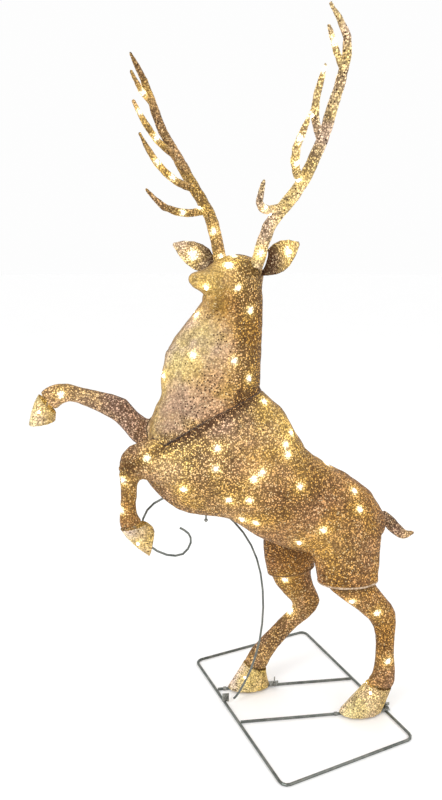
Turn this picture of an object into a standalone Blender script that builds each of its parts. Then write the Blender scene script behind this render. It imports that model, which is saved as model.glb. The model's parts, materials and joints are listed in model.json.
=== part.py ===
"""Light-up yard reindeer: a rearing stag on a wire stand.

Glitter-mesh covers are stretched over an inner wire frame, in sections that come apart: antlers, head and
neck, shoulders, rump, legs and hooves.  The stag looks along -X and its left side is at -Y.  Metres, +Z up;
the stand rests on z = 0.
"""

import math

import bmesh
import bpy
from mathutils import Matrix, Vector

# Driving dimensions -------------------------------------------------------------------------------------
GAP = 0.0003                    # clearance between neighbouring pieces
CLEARANCE = 0.0012              # between covers that meet at a curved cut
HOOF_GAP = 0.002                # between a leg cover and its hoof
COVER = 0.003                   # thickness of a cover
ROD = 0.0045                    # radius of the stand's rods
ROD_Z = ROD * math.cos(math.pi / 8)  # rods lie on the flats of their eight sides
STAND_LENGTH = 0.643            # stand rectangle, between the rods' middle lines
STAND_WIDTH = 0.462
STAND_TURN = math.radians(17.5)  # the rectangle stands askew to the stag
STAND_MIDDLE = (0.0, 0.010)
STAND_CORNER = 0.022            # bend radius of the rectangle's corners
CROSSBAR_Y = {"right": 0.078, "left": -0.092}
SOLE_Z = 2 * ROD_Z + GAP          # hooves stand on the crossbars
HEAD_PLACE = (-0.215, -0.015, 1.440)
HEAD_TURN = math.radians(-135)  # the head looks out to the stag's left
NECK_TRAVEL = 0.060             # how far the neck's posts plug into the body
NECK_POST = (-0.296, 0.078, 0.997, 0.004)  # where a post crosses the neck seam, and its radius
NECK_PATH_ROWS = 4                # sections of the neck that pass the forelegs while it is lifted
NECK_POST_HEAD = 0.075          # how far a post reaches up inside the neck
SOCKET_WALL = 0.002
ANTLER_TRAVEL = 0.045           # how far an antler's peg plugs into the skull
SEAM_BACK = (-0.142, 1.070)     # neck seam at the nape and at the chest, as (x, z)
SEAM_CHEST = (-0.450, 0.906)
SEAM_RADIUS = 0.300             # the neck sags into the shoulders on this radius, lowest in the middle
SEAM_HALF = 0.165               # half width of the seam's cut, wider than the covers
FRAME_INSET = 0.018             # inner frame below the cover
FRAME_WIRE = 0.005

# Sections of each cover, as (front x, front z, back x, back z, middle y, half width) ---------------------
TORSO = [
    (-0.468, 0.985, -0.480, 0.860, 0.0, 0.030),
    (-0.442, 1.060, -0.482, 0.806, 0.0, 0.058),
    (-0.350, 1.110, -0.448, 0.758, 0.0, 0.106),
    (-0.230, 1.130, -0.392, 0.706, 0.0, 0.126),
    (-0.112, 1.052, -0.318, 0.686, 0.0, 0.130),
    (-0.052, 0.985, -0.235, 0.672, 0.0, 0.130),
    (0.002, 0.888, -0.160, 0.617, 0.0, 0.124),
    (0.072, 0.832, -0.082, 0.576, 0.0, 0.120),
    (0.150, 0.788, 0.000, 0.552, 0.0, 0.122),
    (0.218, 0.733, 0.070, 0.545, 0.0, 0.118),
    (0.262, 0.662, 0.130, 0.556, 0.0, 0.096),
    (0.270, 0.610, 0.215, 0.580, 0.0, 0.045),
]
TORSO_SEAM = 5.0                # where the shoulder cover meets the rump cover, in sections
NECK = [
    (-0.466, 0.830, -0.100, 0.930, 0.0, 0.128),
    (-0.470, 0.905, -0.120, 0.985, 0.0, 0.127),
    (-0.465, 0.995, -0.136, 1.030, 0.0, 0.123),
    (-0.432, 1.055, -0.140, 1.085, 0.0, 0.116),
    (-0.432, 1.125, -0.138, 1.140, 0.0, 0.108),
    (-0.404, 1.210, -0.136, 1.215, 0.0, 0.095),
    (-0.345, 1.285, -0.136, 1.285, -0.004, 0.080),
    (-0.297, 1.350, -0.137, 1.350, -0.010, 0.068),
]
HEAD = [
    (-0.078, -0.0880, 0.070, -0.0880, 0.0, 0.066),
    (-0.092, -0.050, 0.070, -0.086, 0.0, 0.068),
    (-0.086, -0.010, 0.076, -0.084, 0.0, 0.071),
    (-0.054, 0.016, 0.086, -0.083, 0.0, 0.071),
    (-0.004, 0.024, 0.098, -0.082, 0.0, 0.065),
    (0.046, 0.014, 0.113, -0.081, 0.0, 0.054),
    (0.090, -0.004, 0.132, -0.080, 0.0, 0.044),
    (0.130, -0.018, 0.152, -0.079, 0.0, 0.039),
    (0.164, -0.030, 0.171, -0.074, 0.0, 0.033),
    (0.182, -0.042, 0.182, -0.062, 0.0, 0.016),
]
LEGS = {
    "foreleg_right": [
        (-0.385, 0.965, -0.420, 0.835, 0.046, 0.044),
        (-0.450, 0.962, -0.500, 0.880, 0.066, 0.046),
        (-0.497, 0.985, -0.538, 0.932, 0.070, 0.038),
        (-0.540, 1.038, -0.577, 0.975, 0.070, 0.034),
        (-0.600, 1.056, -0.628, 1.004, 0.070, 0.029),
        (-0.660, 1.072, -0.672, 1.026, 0.070, 0.024),
        (-0.715, 1.089, -0.708, 1.036, 0.070, 0.023),
        (-0.760, 1.082, -0.736, 1.020, 0.070, 0.025),
        (-0.790, 1.061, -0.744, 1.008, 0.070, 0.026),
    ],
    "foreleg_left": [
        (-0.385, 0.950, -0.390, 0.800, -0.046, 0.044),
        (-0.470, 0.948, -0.458, 0.812, -0.066, 0.048),
        (-0.522, 0.933, -0.490, 0.828, -0.070, 0.040),
        (-0.553, 0.900, -0.504, 0.824, -0.070, 0.034),
        (-0.559, 0.860, -0.508, 0.806, -0.070, 0.029),
        (-0.556, 0.812, -0.511, 0.784, -0.070, 0.025),
        (-0.557, 0.765, -0.514, 0.745, -0.070, 0.023),
        (-0.563, 0.715, -0.512, 0.714, -0.070, 0.025),
        (-0.563, 0.680, -0.496, 0.698, -0.070, 0.027),
    ],
    "thigh_right": [
        (-0.080, 0.670, 0.095, 0.700, 0.050, 0.062),
        (-0.104, 0.590, 0.092, 0.610, 0.064, 0.063),
        (-0.103, 0.500, 0.076, 0.515, 0.074, 0.055),
        (-0.088, 0.428, 0.066, 0.450, 0.078, 0.046),
    ],
    "shank_right": [
        (-0.078, 0.424, 0.058, 0.443, 0.078, 0.041),
        (-0.052, 0.372, 0.060, 0.396, 0.078, 0.036),
        (-0.010, 0.330, 0.080, 0.350, 0.078, 0.031),
        (0.000, 0.300, 0.092, 0.316, 0.078, 0.029),
        (-0.018, 0.276, 0.068, 0.274, 0.078, 0.028),
        (-0.047, 0.250, 0.020, 0.236, 0.078, 0.026),
        (-0.086, 0.207, -0.023, 0.186, 0.078, 0.024),
        (-0.128, 0.164, -0.065, 0.134, 0.078, 0.024),
        (-0.164, 0.106, -0.090, 0.080, 0.078, 0.028),
    ],
    "thigh_left": [
        (0.030, 0.670, 0.195, 0.670, -0.040, 0.055),
        (0.008, 0.610, 0.238, 0.620, -0.062, 0.068),
        (0.022, 0.540, 0.230, 0.545, -0.080, 0.060),
        (0.040, 0.478, 0.222, 0.478, -0.090, 0.052),
    ],
    "shank_left": [
        (0.050, 0.474, 0.215, 0.474, -0.090, 0.045),
        (0.092, 0.434, 0.232, 0.438, -0.091, 0.038),
        (0.158, 0.383, 0.270, 0.394, -0.092, 0.033),
        (0.206, 0.338, 0.290, 0.356, -0.092, 0.029),
        (0.227, 0.295, 0.291, 0.302, -0.092, 0.027),
        (0.233, 0.245, 0.291, 0.242, -0.092, 0.025),
        (0.234, 0.190, 0.294, 0.185, -0.092, 0.024),
        (0.229, 0.142, 0.303, 0.128, -0.092, 0.027),
        (0.212, 0.116, 0.292, 0.096, -0.092, 0.029),
    ],
}
HOOVES = {  # below the leg's last section
    "forehoof_right": [
        (-0.812, 1.020, -0.748, 0.992, 0.070, 0.031),
        (-0.827, 0.964, -0.750, 0.975, 0.070, 0.034),
    ],
    "forehoof_left": [
        (-0.532, 0.634, -0.472, 0.684, -0.070, 0.031),
        (-0.480, 0.588, -0.464, 0.664, -0.070, 0.034),
    ],
    "hindhoof_right": [
        (-0.192, 0.055, -0.088, 0.045, 0.078, 0.033),
        (-0.222, SOLE_Z, -0.078, SOLE_Z, 0.078, 0.037),
    ],
    "hindhoof_left": [
        (0.166, 0.060, 0.276, 0.050, -0.092, 0.034),
        (0.120, SOLE_Z, 0.262, SOLE_Z, -0.092, 0.038),
    ],
}
LEG_RADII = {"foreleg": 0.0040, "hind": 0.0050}  # the rods inside the legs
TAIL = [(0.262, 0.650, 0.016), (0.285, 0.630, 0.020), (0.312, 0.600, 0.019), (0.340, 0.580, 0.015),
        (0.374, 0.584, 0.004)]   # (x, z, radius)
# The support rod's scroll, as (x, z)
SCROLL = [(-0.213, 0.022), (-0.197, 0.041), (-0.157, 0.124), (-0.128, 0.233), (-0.118, 0.350),
          (-0.128, 0.470), (-0.160, 0.570), (-0.216, 0.653), (-0.290, 0.715), (-0.365, 0.744),
          (-0.433, 0.739), (-0.482, 0.703), (-0.500, 0.645), (-0.480, 0.588), (-0.425, 0.552),
          (-0.375, 0.552), (-0.350, 0.589), (-0.357, 0.620), (-0.383, 0.640)]
SUPPORT_RADIUS = 0.0035
FOOT_TAB = (0.022, 0.003, 0.030)  # plate that joins the support rod to the stand
BOLT = (-0.302, 0.655, 0.7185)  # belly bolt: x, lower end, and the support rod's middle above it
BOLT_RADIUS = 0.003
BOLT_NUT = (0.004, 0.005, 0.0038, 0.0058)  # how far up the bolt, height, bore and outer radius
# Fixings of a hind hoof on its crossbar
TOE_CLIP = (0.006, 0.010, 0.0022)  # ahead of the toe, length and wall
HEEL_PLATE = (0.026, 0.022, 0.0025)
HEEL_OVERHANG = 0.0005          # of the plate beyond the heel
HOOK_BOLT = (0.0024, 0.0045, 0.040)  # radius, lower and upper end
HOOK_OFFSET = 0.004             # of the bolt from the plate's middle
NUT_BORE = 0.0027
NUT_HUB = (0.0052, 0.007)       # radius and height
NUT_WING = (0.0095, 0.0022, 0.011)
# Antler of the left side in the head's frame, as (forward, left, up, radius)
BEAM = [(-0.012, 0.061, -0.010, 0.019), (-0.015, 0.072, 0.025, 0.018), (-0.021, 0.097, 0.100, 0.017),
        (-0.038, 0.135, 0.152, 0.017), (-0.044, 0.186, 0.212, 0.016), (-0.034, 0.245, 0.305, 0.015),
        (-0.014, 0.284, 0.380, 0.013), (-0.006, 0.314, 0.455, 0.011), (0.012, 0.331, 0.522, 0.009),
        (0.077, 0.319, 0.580, 0.003)]
TINES = [  # (where it leaves the beam, points)
    (3, [(0.045, 0.136, 0.138, 0.010), (0.118, 0.160, 0.152, 0.009), (0.152, 0.198, 0.201, 0.003)]),
    (4, [(0.020, 0.205, 0.232, 0.010), (0.068, 0.234, 0.280, 0.009), (0.082, 0.287, 0.364, 0.003)]),
    (5, [(0.030, 0.262, 0.345, 0.009), (0.062, 0.284, 0.395, 0.008), (0.077, 0.313, 0.455, 0.003)]),
    (7, [(0.040, 0.318, 0.490, 0.007), (0.078, 0.318, 0.535, 0.003)]),
]
ANTLER_AXIS = Vector((-0.10, 0.38, 0.92)).normalized()
PLUG_SEAT = (-0.0130, 0.0630, 0.004)
EAR_ROOT = Vector((-0.024, 0.062, -0.022))
EAR_TIP = Vector((0.020, 0.219, 0.054))
EAR_WIDTHS = [0.014, 0.025, 0.036, 0.040, 0.036, 0.024, 0.004]
EAR_CUP = 0.014
EAR_ROOM = 0.006                # between an ear and its antler, so that the antler lifts out past it

GOLD = (0.42, 0.27, 0.11)
CREAM = (0.62, 0.52, 0.36)
GREY_METAL = (0.22, 0.24, 0.22)
ZINC = (0.45, 0.45, 0.43)
WIRE_WHITE = (0.60, 0.52, 0.36)
CLEAR_WIRE = (0.50, 0.46, 0.36)


# Scene set-up -------------------------------------------------------------------------------------------
for old in list(bpy.data.objects):
    bpy.data.objects.remove(old, do_unlink=True)
PARTS = bpy.data.collections.new("yard_reindeer")
CUTTERS = bpy.data.collections.new("cutters")
bpy.context.scene.collection.children.link(PARTS)
bpy.context.scene.collection.children.link(CUTTERS)
MATERIALS = {}


def material(name, colour, roughness, metallic):
    """A Principled material, made once."""
    if name not in MATERIALS:
        made = bpy.data.materials.new(name)
        made.use_nodes = True
        shader = made.node_tree.nodes["Principled BSDF"]
        shader.inputs["Base Color"].default_value = (*colour, 1.0)
        shader.inputs["Roughness"].default_value = roughness
        shader.inputs["Metallic"].default_value = metallic
        MATERIALS[name] = made
    return MATERIALS[name]


def glitter_mesh():
    return material("glitter_mesh", GOLD, 0.55, 0.35)


def hoof_mesh():
    return material("hoof_mesh", CREAM, 0.50, 0.30)


def painted_rod():
    return material("painted_rod", GREY_METAL, 0.42, 0.7)


def zinc():
    return material("zinc_plate", ZINC, 0.35, 1.0)


def frame_paint():
    return material("frame_paint", WIRE_WHITE, 0.5, 0.4)


def light_wire():
    return material("light_wire", CLEAR_WIRE, 0.3, 0.0)


def empty(name, place, turn=(0.0, 0.0, 0.0), parent=None):
    """A locating point that pieces hang on."""
    made = bpy.data.objects.new(name, None)
    PARTS.objects.link(made)
    made.location = place
    made.rotation_euler = turn
    made.parent = parent
    return made


def add(name, data, paint, parent=None, cutter=False):
    """An object in the parts collection, or a hidden cutter."""
    made = bpy.data.objects.new(name, data)
    (CUTTERS if cutter else PARTS).objects.link(made)
    if cutter:
        made.hide_render = True
        made.display_type = "WIRE"
    elif paint:
        data.materials.clear()
        data.materials.append(paint)
    made.parent = parent
    return made


def mesh_of(work, name, smooth=True):
    """Turn a bmesh into mesh data."""
    data = bpy.data.meshes.new(name)
    work.to_mesh(data)
    work.free()
    if smooth:
        data.shade_smooth()
        data.set_sharp_from_angle(angle=math.radians(50))
    return data


# Geometry helpers ---------------------------------------------------------------------------------------
def blend_rows(rows, at):
    """The row at a fractional index, on a Catmull-Rom curve through all rows."""
    last = len(rows) - 1
    index = min(max(int(math.floor(at)), 0), last - 1)
    t = at - index
    points = [rows[max(index - 1, 0)], rows[index], rows[index + 1], rows[min(index + 2, last)]]
    return tuple(
        0.5 * (2 * b + (c - a) * t + (2 * a - 5 * b + 4 * c - d) * t * t + (3 * b - a - 3 * c + d) * t ** 3)
        for a, b, c, d in zip(*points)
    )


def rows_between(rows, start, end, count):
    """Evenly spread rows between two fractional indices."""
    return [blend_rows(rows, start + (end - start) * i / (count - 1)) for i in range(count)]


def section_ring(row, count, grow, shift):
    """Points round one section; grow widens it all round."""
    front = Vector((row[0], 0.0, row[1]))
    back = Vector((row[2], 0.0, row[3]))
    middle = (front + back) / 2
    middle.y = row[4]
    reach = (front - back) / 2
    reach = reach * (1 + grow / reach.length)
    side = Vector((0.0, row[5] + grow, 0.0))
    angles = [2 * math.pi * (i + shift) / count for i in range(count)]
    return [middle + reach * math.cos(a) + side * math.sin(a) for a in angles]


def loft(name, rows, count, grow=0.0, cap_start=False, cap_end=False, shift=0.0):
    """A skin through the sections, with its faces pointing outward."""
    work = bmesh.new()
    rings = [[work.verts.new(p) for p in section_ring(row, count, grow, shift)] for row in rows]
    for low, high in zip(rings, rings[1:]):
        for i in range(count):
            j = (i + 1) % count
            work.faces.new((low[i], low[j], high[j], high[i]))
    for wanted, ring, inner in ((cap_start, rings[0], rings[1]), (cap_end, rings[-1], rings[-2])):
        if wanted:
            middle = sum((v.co for v in ring), Vector()) / count
            out = (middle - sum((v.co for v in inner), Vector()) / count).normalized()
            bmesh.ops.translate(work, verts=ring, vec=out * grow)
            hub = work.verts.new(middle + out * grow)
            for i in range(count):
                work.faces.new((ring[i], ring[(i + 1) % count], hub))
    bmesh.ops.recalc_face_normals(work, faces=work.faces)
    middle = sum((v.co for v in work.verts), Vector()) / len(work.verts)
    outward = sum(f.normal.dot(f.calc_center_median() - middle) * f.calc_area() for f in work.faces)
    if outward < 0:
        bmesh.ops.reverse_faces(work, faces=work.faces)
    return mesh_of(work, name)


def shell(thing, thickness=COVER):
    """Thicken an open skin inward."""
    solid = thing.modifiers.new("thickness", "SOLIDIFY")
    solid.thickness = thickness
    solid.offset = -1.0
    solid.use_even_offset = False


def cut(thing, cutter, operation="DIFFERENCE"):
    """Cut one object by another with the exact solver."""
    boolean = thing.modifiers.new("cut", "BOOLEAN")
    boolean.solver = "EXACT"
    boolean.operation = operation
    boolean.object = cutter


def rod(name, points, radius, paint, parent=None, cyclic=False, sides=2, tilt=0.0, cutter=False, radii=None):
    """A round rod along points."""
    data = bpy.data.curves.new(name, "CURVE")
    data.dimensions = "3D"
    data.bevel_depth = radius
    data.bevel_resolution = sides
    data.use_fill_caps = not cyclic
    line = data.splines.new("POLY")
    line.points.add(len(points) - 1)
    for i, (point, place) in enumerate(zip(line.points, points)):
        point.co = (*place, 1.0)
        point.tilt = tilt
        point.radius = radii[i] if radii else 1.0
    line.use_cyclic_u = cyclic
    line.use_smooth = True
    return add(name, data, paint, parent, cutter)


def as_mesh(thing, paint=None, cutter=False):
    """A curve object remade as a mesh, with its caps welded, so that it can be cut or cut others."""
    shape = thing.evaluated_get(bpy.context.evaluated_depsgraph_get())
    work = bmesh.new()
    work.from_mesh(bpy.data.meshes.new_from_object(shape))
    bmesh.ops.remove_doubles(work, verts=work.verts, dist=0.00002)
    name, place, parent = thing.name, thing.matrix_world.copy(), thing.parent
    bpy.data.objects.remove(thing, do_unlink=True)
    made = add(name, mesh_of(work, name), paint, parent, cutter)
    made.matrix_world = place
    return made


def smooth_points(points, per_span):
    """More points along a smooth curve through the given ones."""
    spans = len(points) - 1
    return [Vector(blend_rows(points, i / per_span)) for i in range(spans * per_span + 1)]


def cylinder(name, low, high, radius, paint=None, parent=None, cutter=False, segments=16):
    """A cylinder between two points."""
    low, high = Vector(low), Vector(high)
    axis = high - low
    turn = axis.to_track_quat("Z", "Y").to_matrix().to_4x4()
    work = bmesh.new()
    bmesh.ops.create_cone(work, cap_ends=True, segments=segments, radius1=radius, radius2=radius,
                          depth=axis.length)
    bmesh.ops.transform(work, matrix=Matrix.Translation((low + high) / 2) @ turn, verts=work.verts)
    return add(name, mesh_of(work, name), paint, parent, cutter)


def tube(name, low, high, inner, outer, paint, parent=None, segments=16):
    """A plain tube between two points, turned from its wall's section."""
    low, high = Vector(low), Vector(high)
    axis = high - low
    half = axis.length / 2
    work = bmesh.new()
    corners = [(outer, half), (outer, -half), (inner, -half), (inner, half)]
    ring = [work.verts.new((x, 0.0, z)) for x, z in corners]
    for i in range(4):
        work.edges.new((ring[i], ring[(i + 1) % 4]))
    made = add(name, mesh_of(work, name), paint, parent)
    made.location = (low + high) / 2
    made.rotation_euler = axis.to_track_quat("Z", "Y").to_euler()
    screw = made.modifiers.new("turn", "SCREW")
    screw.steps = segments
    screw.render_steps = segments
    screw.use_merge_vertices = True
    screw.merge_threshold = 0.00001
    return made


def box(name, middle, size, paint=None, parent=None, cutter=False, turn=0.0):
    """A block turned about Z."""
    work = bmesh.new()
    bmesh.ops.create_cube(work, size=1.0)
    placed = Matrix.Translation(middle) @ Matrix.Rotation(turn, 4, "Z") @ Matrix.Diagonal((*size, 1.0))
    bmesh.ops.transform(work, matrix=placed, verts=work.verts)
    return add(name, mesh_of(work, name, smooth=False), paint, parent, cutter)


# Neck seam ----------------------------------------------------------------------------------------------
SEAM_RUN = Vector((SEAM_CHEST[0] - SEAM_BACK[0], 0.0, SEAM_CHEST[1] - SEAM_BACK[1])).normalized()
SEAM_UP = Vector((0.0, 1.0, 0.0)).cross(SEAM_RUN)
if SEAM_UP.z < 0:
    SEAM_UP = -SEAM_UP


def seam_block(name, above, clearance):
    """Everything above, or below, the trough-shaped neck seam."""
    start = Vector((SEAM_BACK[0], 0.0, SEAM_BACK[1])) - SEAM_RUN * 0.3
    steps = 14
    line = []
    for i in range(steps + 1):
        y = -SEAM_HALF + 2 * SEAM_HALF * i / steps
        line.append((y, SEAM_RADIUS - math.sqrt(SEAM_RADIUS ** 2 - y * y) + clearance))
    far = 0.45 if above else -0.45
    line += [(SEAM_HALF, far), (-SEAM_HALF, far)]
    work = bmesh.new()
    near = [work.verts.new(start + Vector((0.0, y, 0.0)) + SEAM_UP * h) for y, h in line]
    bottom = work.faces.new(near)
    grown = bmesh.ops.extrude_face_region(work, geom=[bottom])
    moved = [v for v in grown["geom"] if isinstance(v, bmesh.types.BMVert)]
    bmesh.ops.translate(work, verts=moved, vec=SEAM_RUN * 0.9)
    bmesh.ops.recalc_face_normals(work, faces=work.faces)
    return add(name, mesh_of(work, name, smooth=False), None, cutter=True)


# Stand --------------------------------------------------------------------------------------------------
def stand_point(along, across, z=ROD_Z):
    """A point on the stand: along its length and across its width, from its middle."""
    c, s = math.cos(STAND_TURN), math.sin(STAND_TURN)
    return Vector((STAND_MIDDLE[0] + across * c - along * s, STAND_MIDDLE[1] + across * s + along * c, z))


def rail_x(side, y):
    """x of a long rail's middle line where it passes y."""
    across = side * STAND_WIDTH / 2
    c, s = math.cos(STAND_TURN), math.sin(STAND_TURN)
    along = (y - STAND_MIDDLE[1] - across * s) / c
    return STAND_MIDDLE[0] + across * c - along * s


def make_stand():
    corners = []
    half_l, half_w = STAND_LENGTH / 2 - STAND_CORNER, STAND_WIDTH / 2 - STAND_CORNER
    for k, (sx, sy) in enumerate(((1, 1), (-1, 1), (-1, -1), (1, -1))):
        for i in range(4):
            a = math.pi / 2 * (k + i / 3)
            corners.append(stand_point(sy * half_l + STAND_CORNER * math.sin(a),
                                       sx * half_w + STAND_CORNER * math.cos(a)))
    rod("stand_frame", corners, ROD, painted_rod(), cyclic=True, tilt=math.pi / 8)
    for side, y in CROSSBAR_Y.items():
        inset = ROD + GAP + ROD * math.tan(STAND_TURN) + 0.0004
        left = rail_x(-1, y) + inset / math.cos(STAND_TURN)
        right = rail_x(1, y) - inset / math.cos(STAND_TURN)
        rod("crossbar_" + side, [(left, y, ROD_Z), (right, y, ROD_Z)], ROD, painted_rod(), tilt=math.pi / 8)


def make_support():
    points = [Vector((p[0], 0.0, p[1])) for p in smooth_points(SCROLL, 2)]
    rod("support_rod", points, SUPPORT_RADIUS, painted_rod(), sides=1)
    clearance = rod("support_clearance", points, SUPPORT_RADIUS + 0.0015, None, cutter=True, sides=1)
    as_mesh(clearance, cutter=True)
    foot_x = rail_x(-1, 0.0)
    tab_z = 2 * ROD + GAP + FOOT_TAB[2] / 2
    box("support_foot_tab", (foot_x, SUPPORT_RADIUS + GAP + FOOT_TAB[1] / 2, tab_z), FOOT_TAB, zinc())


def make_belly_bolt():
    """Bolt that holds the belly to the support rod."""
    x, low, rod_z = BOLT
    up, height, bore, outer = BOLT_NUT
    top = rod_z - SUPPORT_RADIUS - GAP
    cylinder("belly_bolt", (x, 0.0, low), (x, 0.0, top), BOLT_RADIUS, zinc(), segments=12)
    cylinder("belly_clearance", (x, 0.0, low - 0.01), (x, 0.0, top + 0.001), BOLT_RADIUS + CLEARANCE,
             cutter=True, segments=12)
    tube("belly_nut", (x, 0.0, low + up), (x, 0.0, low + up + height), bore, outer, zinc(), segments=6)


def make_hoof_fixings(side):
    """Toe clip, heel plate, hook bolt and wing nut that hold one hind hoof on its crossbar."""
    y = CROSSBAR_Y[side]
    sole = HOOVES["hindhoof_" + side][-1]
    toe, heel = sole[0], sole[2]
    ahead, length, wall = TOE_CLIP
    clip = tube("toe_clip_" + side, (toe - ahead - length, y, ROD_Z), (toe - ahead, y, ROD_Z), ROD + GAP,
                ROD + wall, zinc(), segments=12)
    mouth = 0.02
    cut(clip, box("clip_mouth_" + side, (toe - ahead - length / 2, y, 0.001 - mouth / 2),
                  (mouth, mouth, mouth), cutter=True))
    plate_x = heel + HEEL_OVERHANG + HEEL_PLATE[0] / 2
    plate = box("heel_plate_" + side, (plate_x + GAP, y, SOLE_Z + HEEL_PLATE[2] / 2), HEEL_PLATE, zinc())
    radius, low, high = HOOK_BOLT
    inward = 1 if side == "left" else -1
    bolt_x, bolt_y = plate_x + HOOK_OFFSET, y + (ROD + NUT_BORE + 2 * GAP) * inward
    cut(plate, cylinder("heel_hole_" + side, (bolt_x, bolt_y, 0.0), (bolt_x, bolt_y, high), radius + 0.0005,
                        cutter=True))
    rod("hook_bolt_" + side, [(bolt_x, bolt_y, high), (bolt_x, bolt_y, low)], radius, zinc())
    pivot = empty("wing_nut_axis_" + side, (bolt_x, bolt_y, SOLE_Z + HEEL_PLATE[2] + GAP))
    nut = tube("wing_nut_" + side, (0.0, 0.0, 0.0), (0.0, 0.0, NUT_HUB[1]), NUT_BORE, NUT_HUB[0], zinc(),
               pivot)
    reach = (NUT_BORE + NUT_HUB[0]) / 2 + NUT_WING[0] / 2 - 0.0004
    for k in (-1, 1):
        wing = box("wing_%s_%d" % (side, k), (k * reach, 0.0, 0.002 + NUT_WING[2] / 2), NUT_WING, cutter=True)
        wing.parent = pivot
        cut(nut, wing, "UNION")


# Covers -------------------------------------------------------------------------------------------------
def make_torso():
    last = len(TORSO) - 1
    thin = CLEARANCE / 2 / 0.08  # the gap at the seam, in sections about 80 mm apart
    front = rows_between(TORSO, 0, TORSO_SEAM - thin, 11)
    rear = rows_between(TORSO, TORSO_SEAM + thin, last, 13)
    shoulder = add("shoulder_cover", loft("shoulder_cover", front, 20, cap_start=True), glitter_mesh())
    rump = add("rump_cover", loft("rump_cover", rear, 20, cap_end=True), glitter_mesh())
    shell(shoulder)
    shell(rump)
    clear = add("torso_clearance", loft("torso_clearance", front + rear, 20, grow=CLEARANCE, cap_start=True,
                                        cap_end=True), None, cutter=True)
    return shoulder, rump, clear


def make_neck_path(below):
    """The room the neck sweeps through in front of the shoulders while it is lifted off."""
    rows = rows_between(NECK, 0, NECK_PATH_ROWS, 7)
    seated = add("neck_seated", loft("neck_seated", rows, 20, grow=CLEARANCE, cap_start=True, cap_end=True),
                 None, cutter=True)
    cut(seated, below)
    seated = as_mesh(seated, cutter=True)
    work = bmesh.new()
    for corner in [v.co.copy() for v in seated.data.vertices]:
        work.verts.new(corner)
        work.verts.new(corner + SEAM_UP * NECK_TRAVEL)
    bpy.data.objects.remove(seated, do_unlink=True)
    hull = bmesh.ops.convex_hull(work, input=work.verts)
    inner = {g for g in hull["geom_interior"] + hull["geom_unused"] if isinstance(g, bmesh.types.BMVert)}
    bmesh.ops.delete(work, geom=list(inner), context="VERTS")
    return add("neck_path", mesh_of(work, "neck_path"), None, cutter=True)


def make_neck(parent):
    rows = rows_between(NECK, 0, len(NECK) - 1, 13)
    neck = add("neck_cover", loft("neck_cover", rows, 20), glitter_mesh(), parent)
    shell(neck)
    return neck


def make_head(parent):
    rows = rows_between(HEAD, 0, len(HEAD) - 1, 13)
    head = add("head_cover", loft("head_cover", rows, 16, cap_end=True), glitter_mesh(), parent)
    shell(head)
    clear = add("head_clearance", loft("head_clearance", rows, 16, grow=CLEARANCE, cap_start=True,
                                       cap_end=True), None, parent, cutter=True)
    return head, clear


def make_neck_post(side_name, side, parent):
    """Post inside the neck, and the socket inside the shoulders that it slides down into."""
    x, y, z, radius = NECK_POST
    seat = Vector((x, y * side, z))
    low = seat - SEAM_UP * NECK_TRAVEL
    cylinder("neck_post_" + side_name, low, seat + SEAM_UP * NECK_POST_HEAD, radius, zinc(), parent,
             segments=12)
    tube("neck_socket_" + side_name, low - SEAM_UP * 0.006, low + SEAM_UP * NECK_TRAVEL * 0.7,
         radius + 2 * GAP, radius + 2 * GAP + SOCKET_WALL, zinc(), segments=12)


def mirrored(point, side):
    """A point of the left half, on the given side."""
    return Vector((point[0], point[1] * side, point[2]))


def make_ear(name, side, parent, clear):
    axis = EAR_TIP - EAR_ROOT
    width = axis.cross(Vector((1.0, 0.0, 0.0))).normalized()
    if width.z < 0:
        width = -width
    across = 7
    work = bmesh.new()
    grid = []
    for i, half in enumerate(EAR_WIDTHS):
        t = i / (len(EAR_WIDTHS) - 1)
        line = []
        for j in range(across):
            s = 2 * j / (across - 1) - 1
            cup = EAR_CUP * (1 - s * s) * math.sin(math.pi * min(t + 0.15, 1.0))
            place = EAR_ROOT + axis * t + width * (half * s) - Vector((cup, 0.0, 0.0))
            line.append(work.verts.new(mirrored(place, side)))
        grid.append(line)
    for a, b in zip(grid, grid[1:]):
        for j in range(across - 1):
            work.faces.new((a[j], a[j + 1], b[j + 1], b[j]))
    bmesh.ops.recalc_face_normals(work, faces=work.faces)
    ear = add(name, mesh_of(work, name), glitter_mesh(), parent)
    thick = ear.modifiers.new("thickness", "SOLIDIFY")
    thick.thickness = 0.004
    thick.offset = 0.0
    cut(ear, clear)
    seat = mirrored(PLUG_SEAT, side)
    axis = mirrored(ANTLER_AXIS, side)
    cut(ear, cylinder("antler_room_" + name, seat - axis * 0.03, seat + axis * 0.10, BEAM[0][3] + EAR_ROOM,
                      None, parent, cutter=True, segments=24))
    return ear


def branch(name, points, side, parent, per_span, cutter=False):
    """One tapering branch of an antler, from (forward, left, up, radius) points."""
    line = [blend_rows(points, i / per_span) for i in range((len(points) - 1) * per_span + 1)]
    data = rod(name, [mirrored(p, side) for p in line], 1.0, None, parent, radii=[p[3] for p in line])
    return as_mesh(data, glitter_mesh(), cutter)


def make_antler(name, side, parent, clear):
    antler = branch(name, BEAM, side, parent, 2)
    for k, (start, tine) in enumerate(TINES):
        root = (*BEAM[start][:3], tine[0][3])
        cut(antler, branch("%s_tine_%d" % (name, k), [root] + tine, side, parent, 2, cutter=True), "UNION")
    cut(antler, clear)
    return antler


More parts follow.
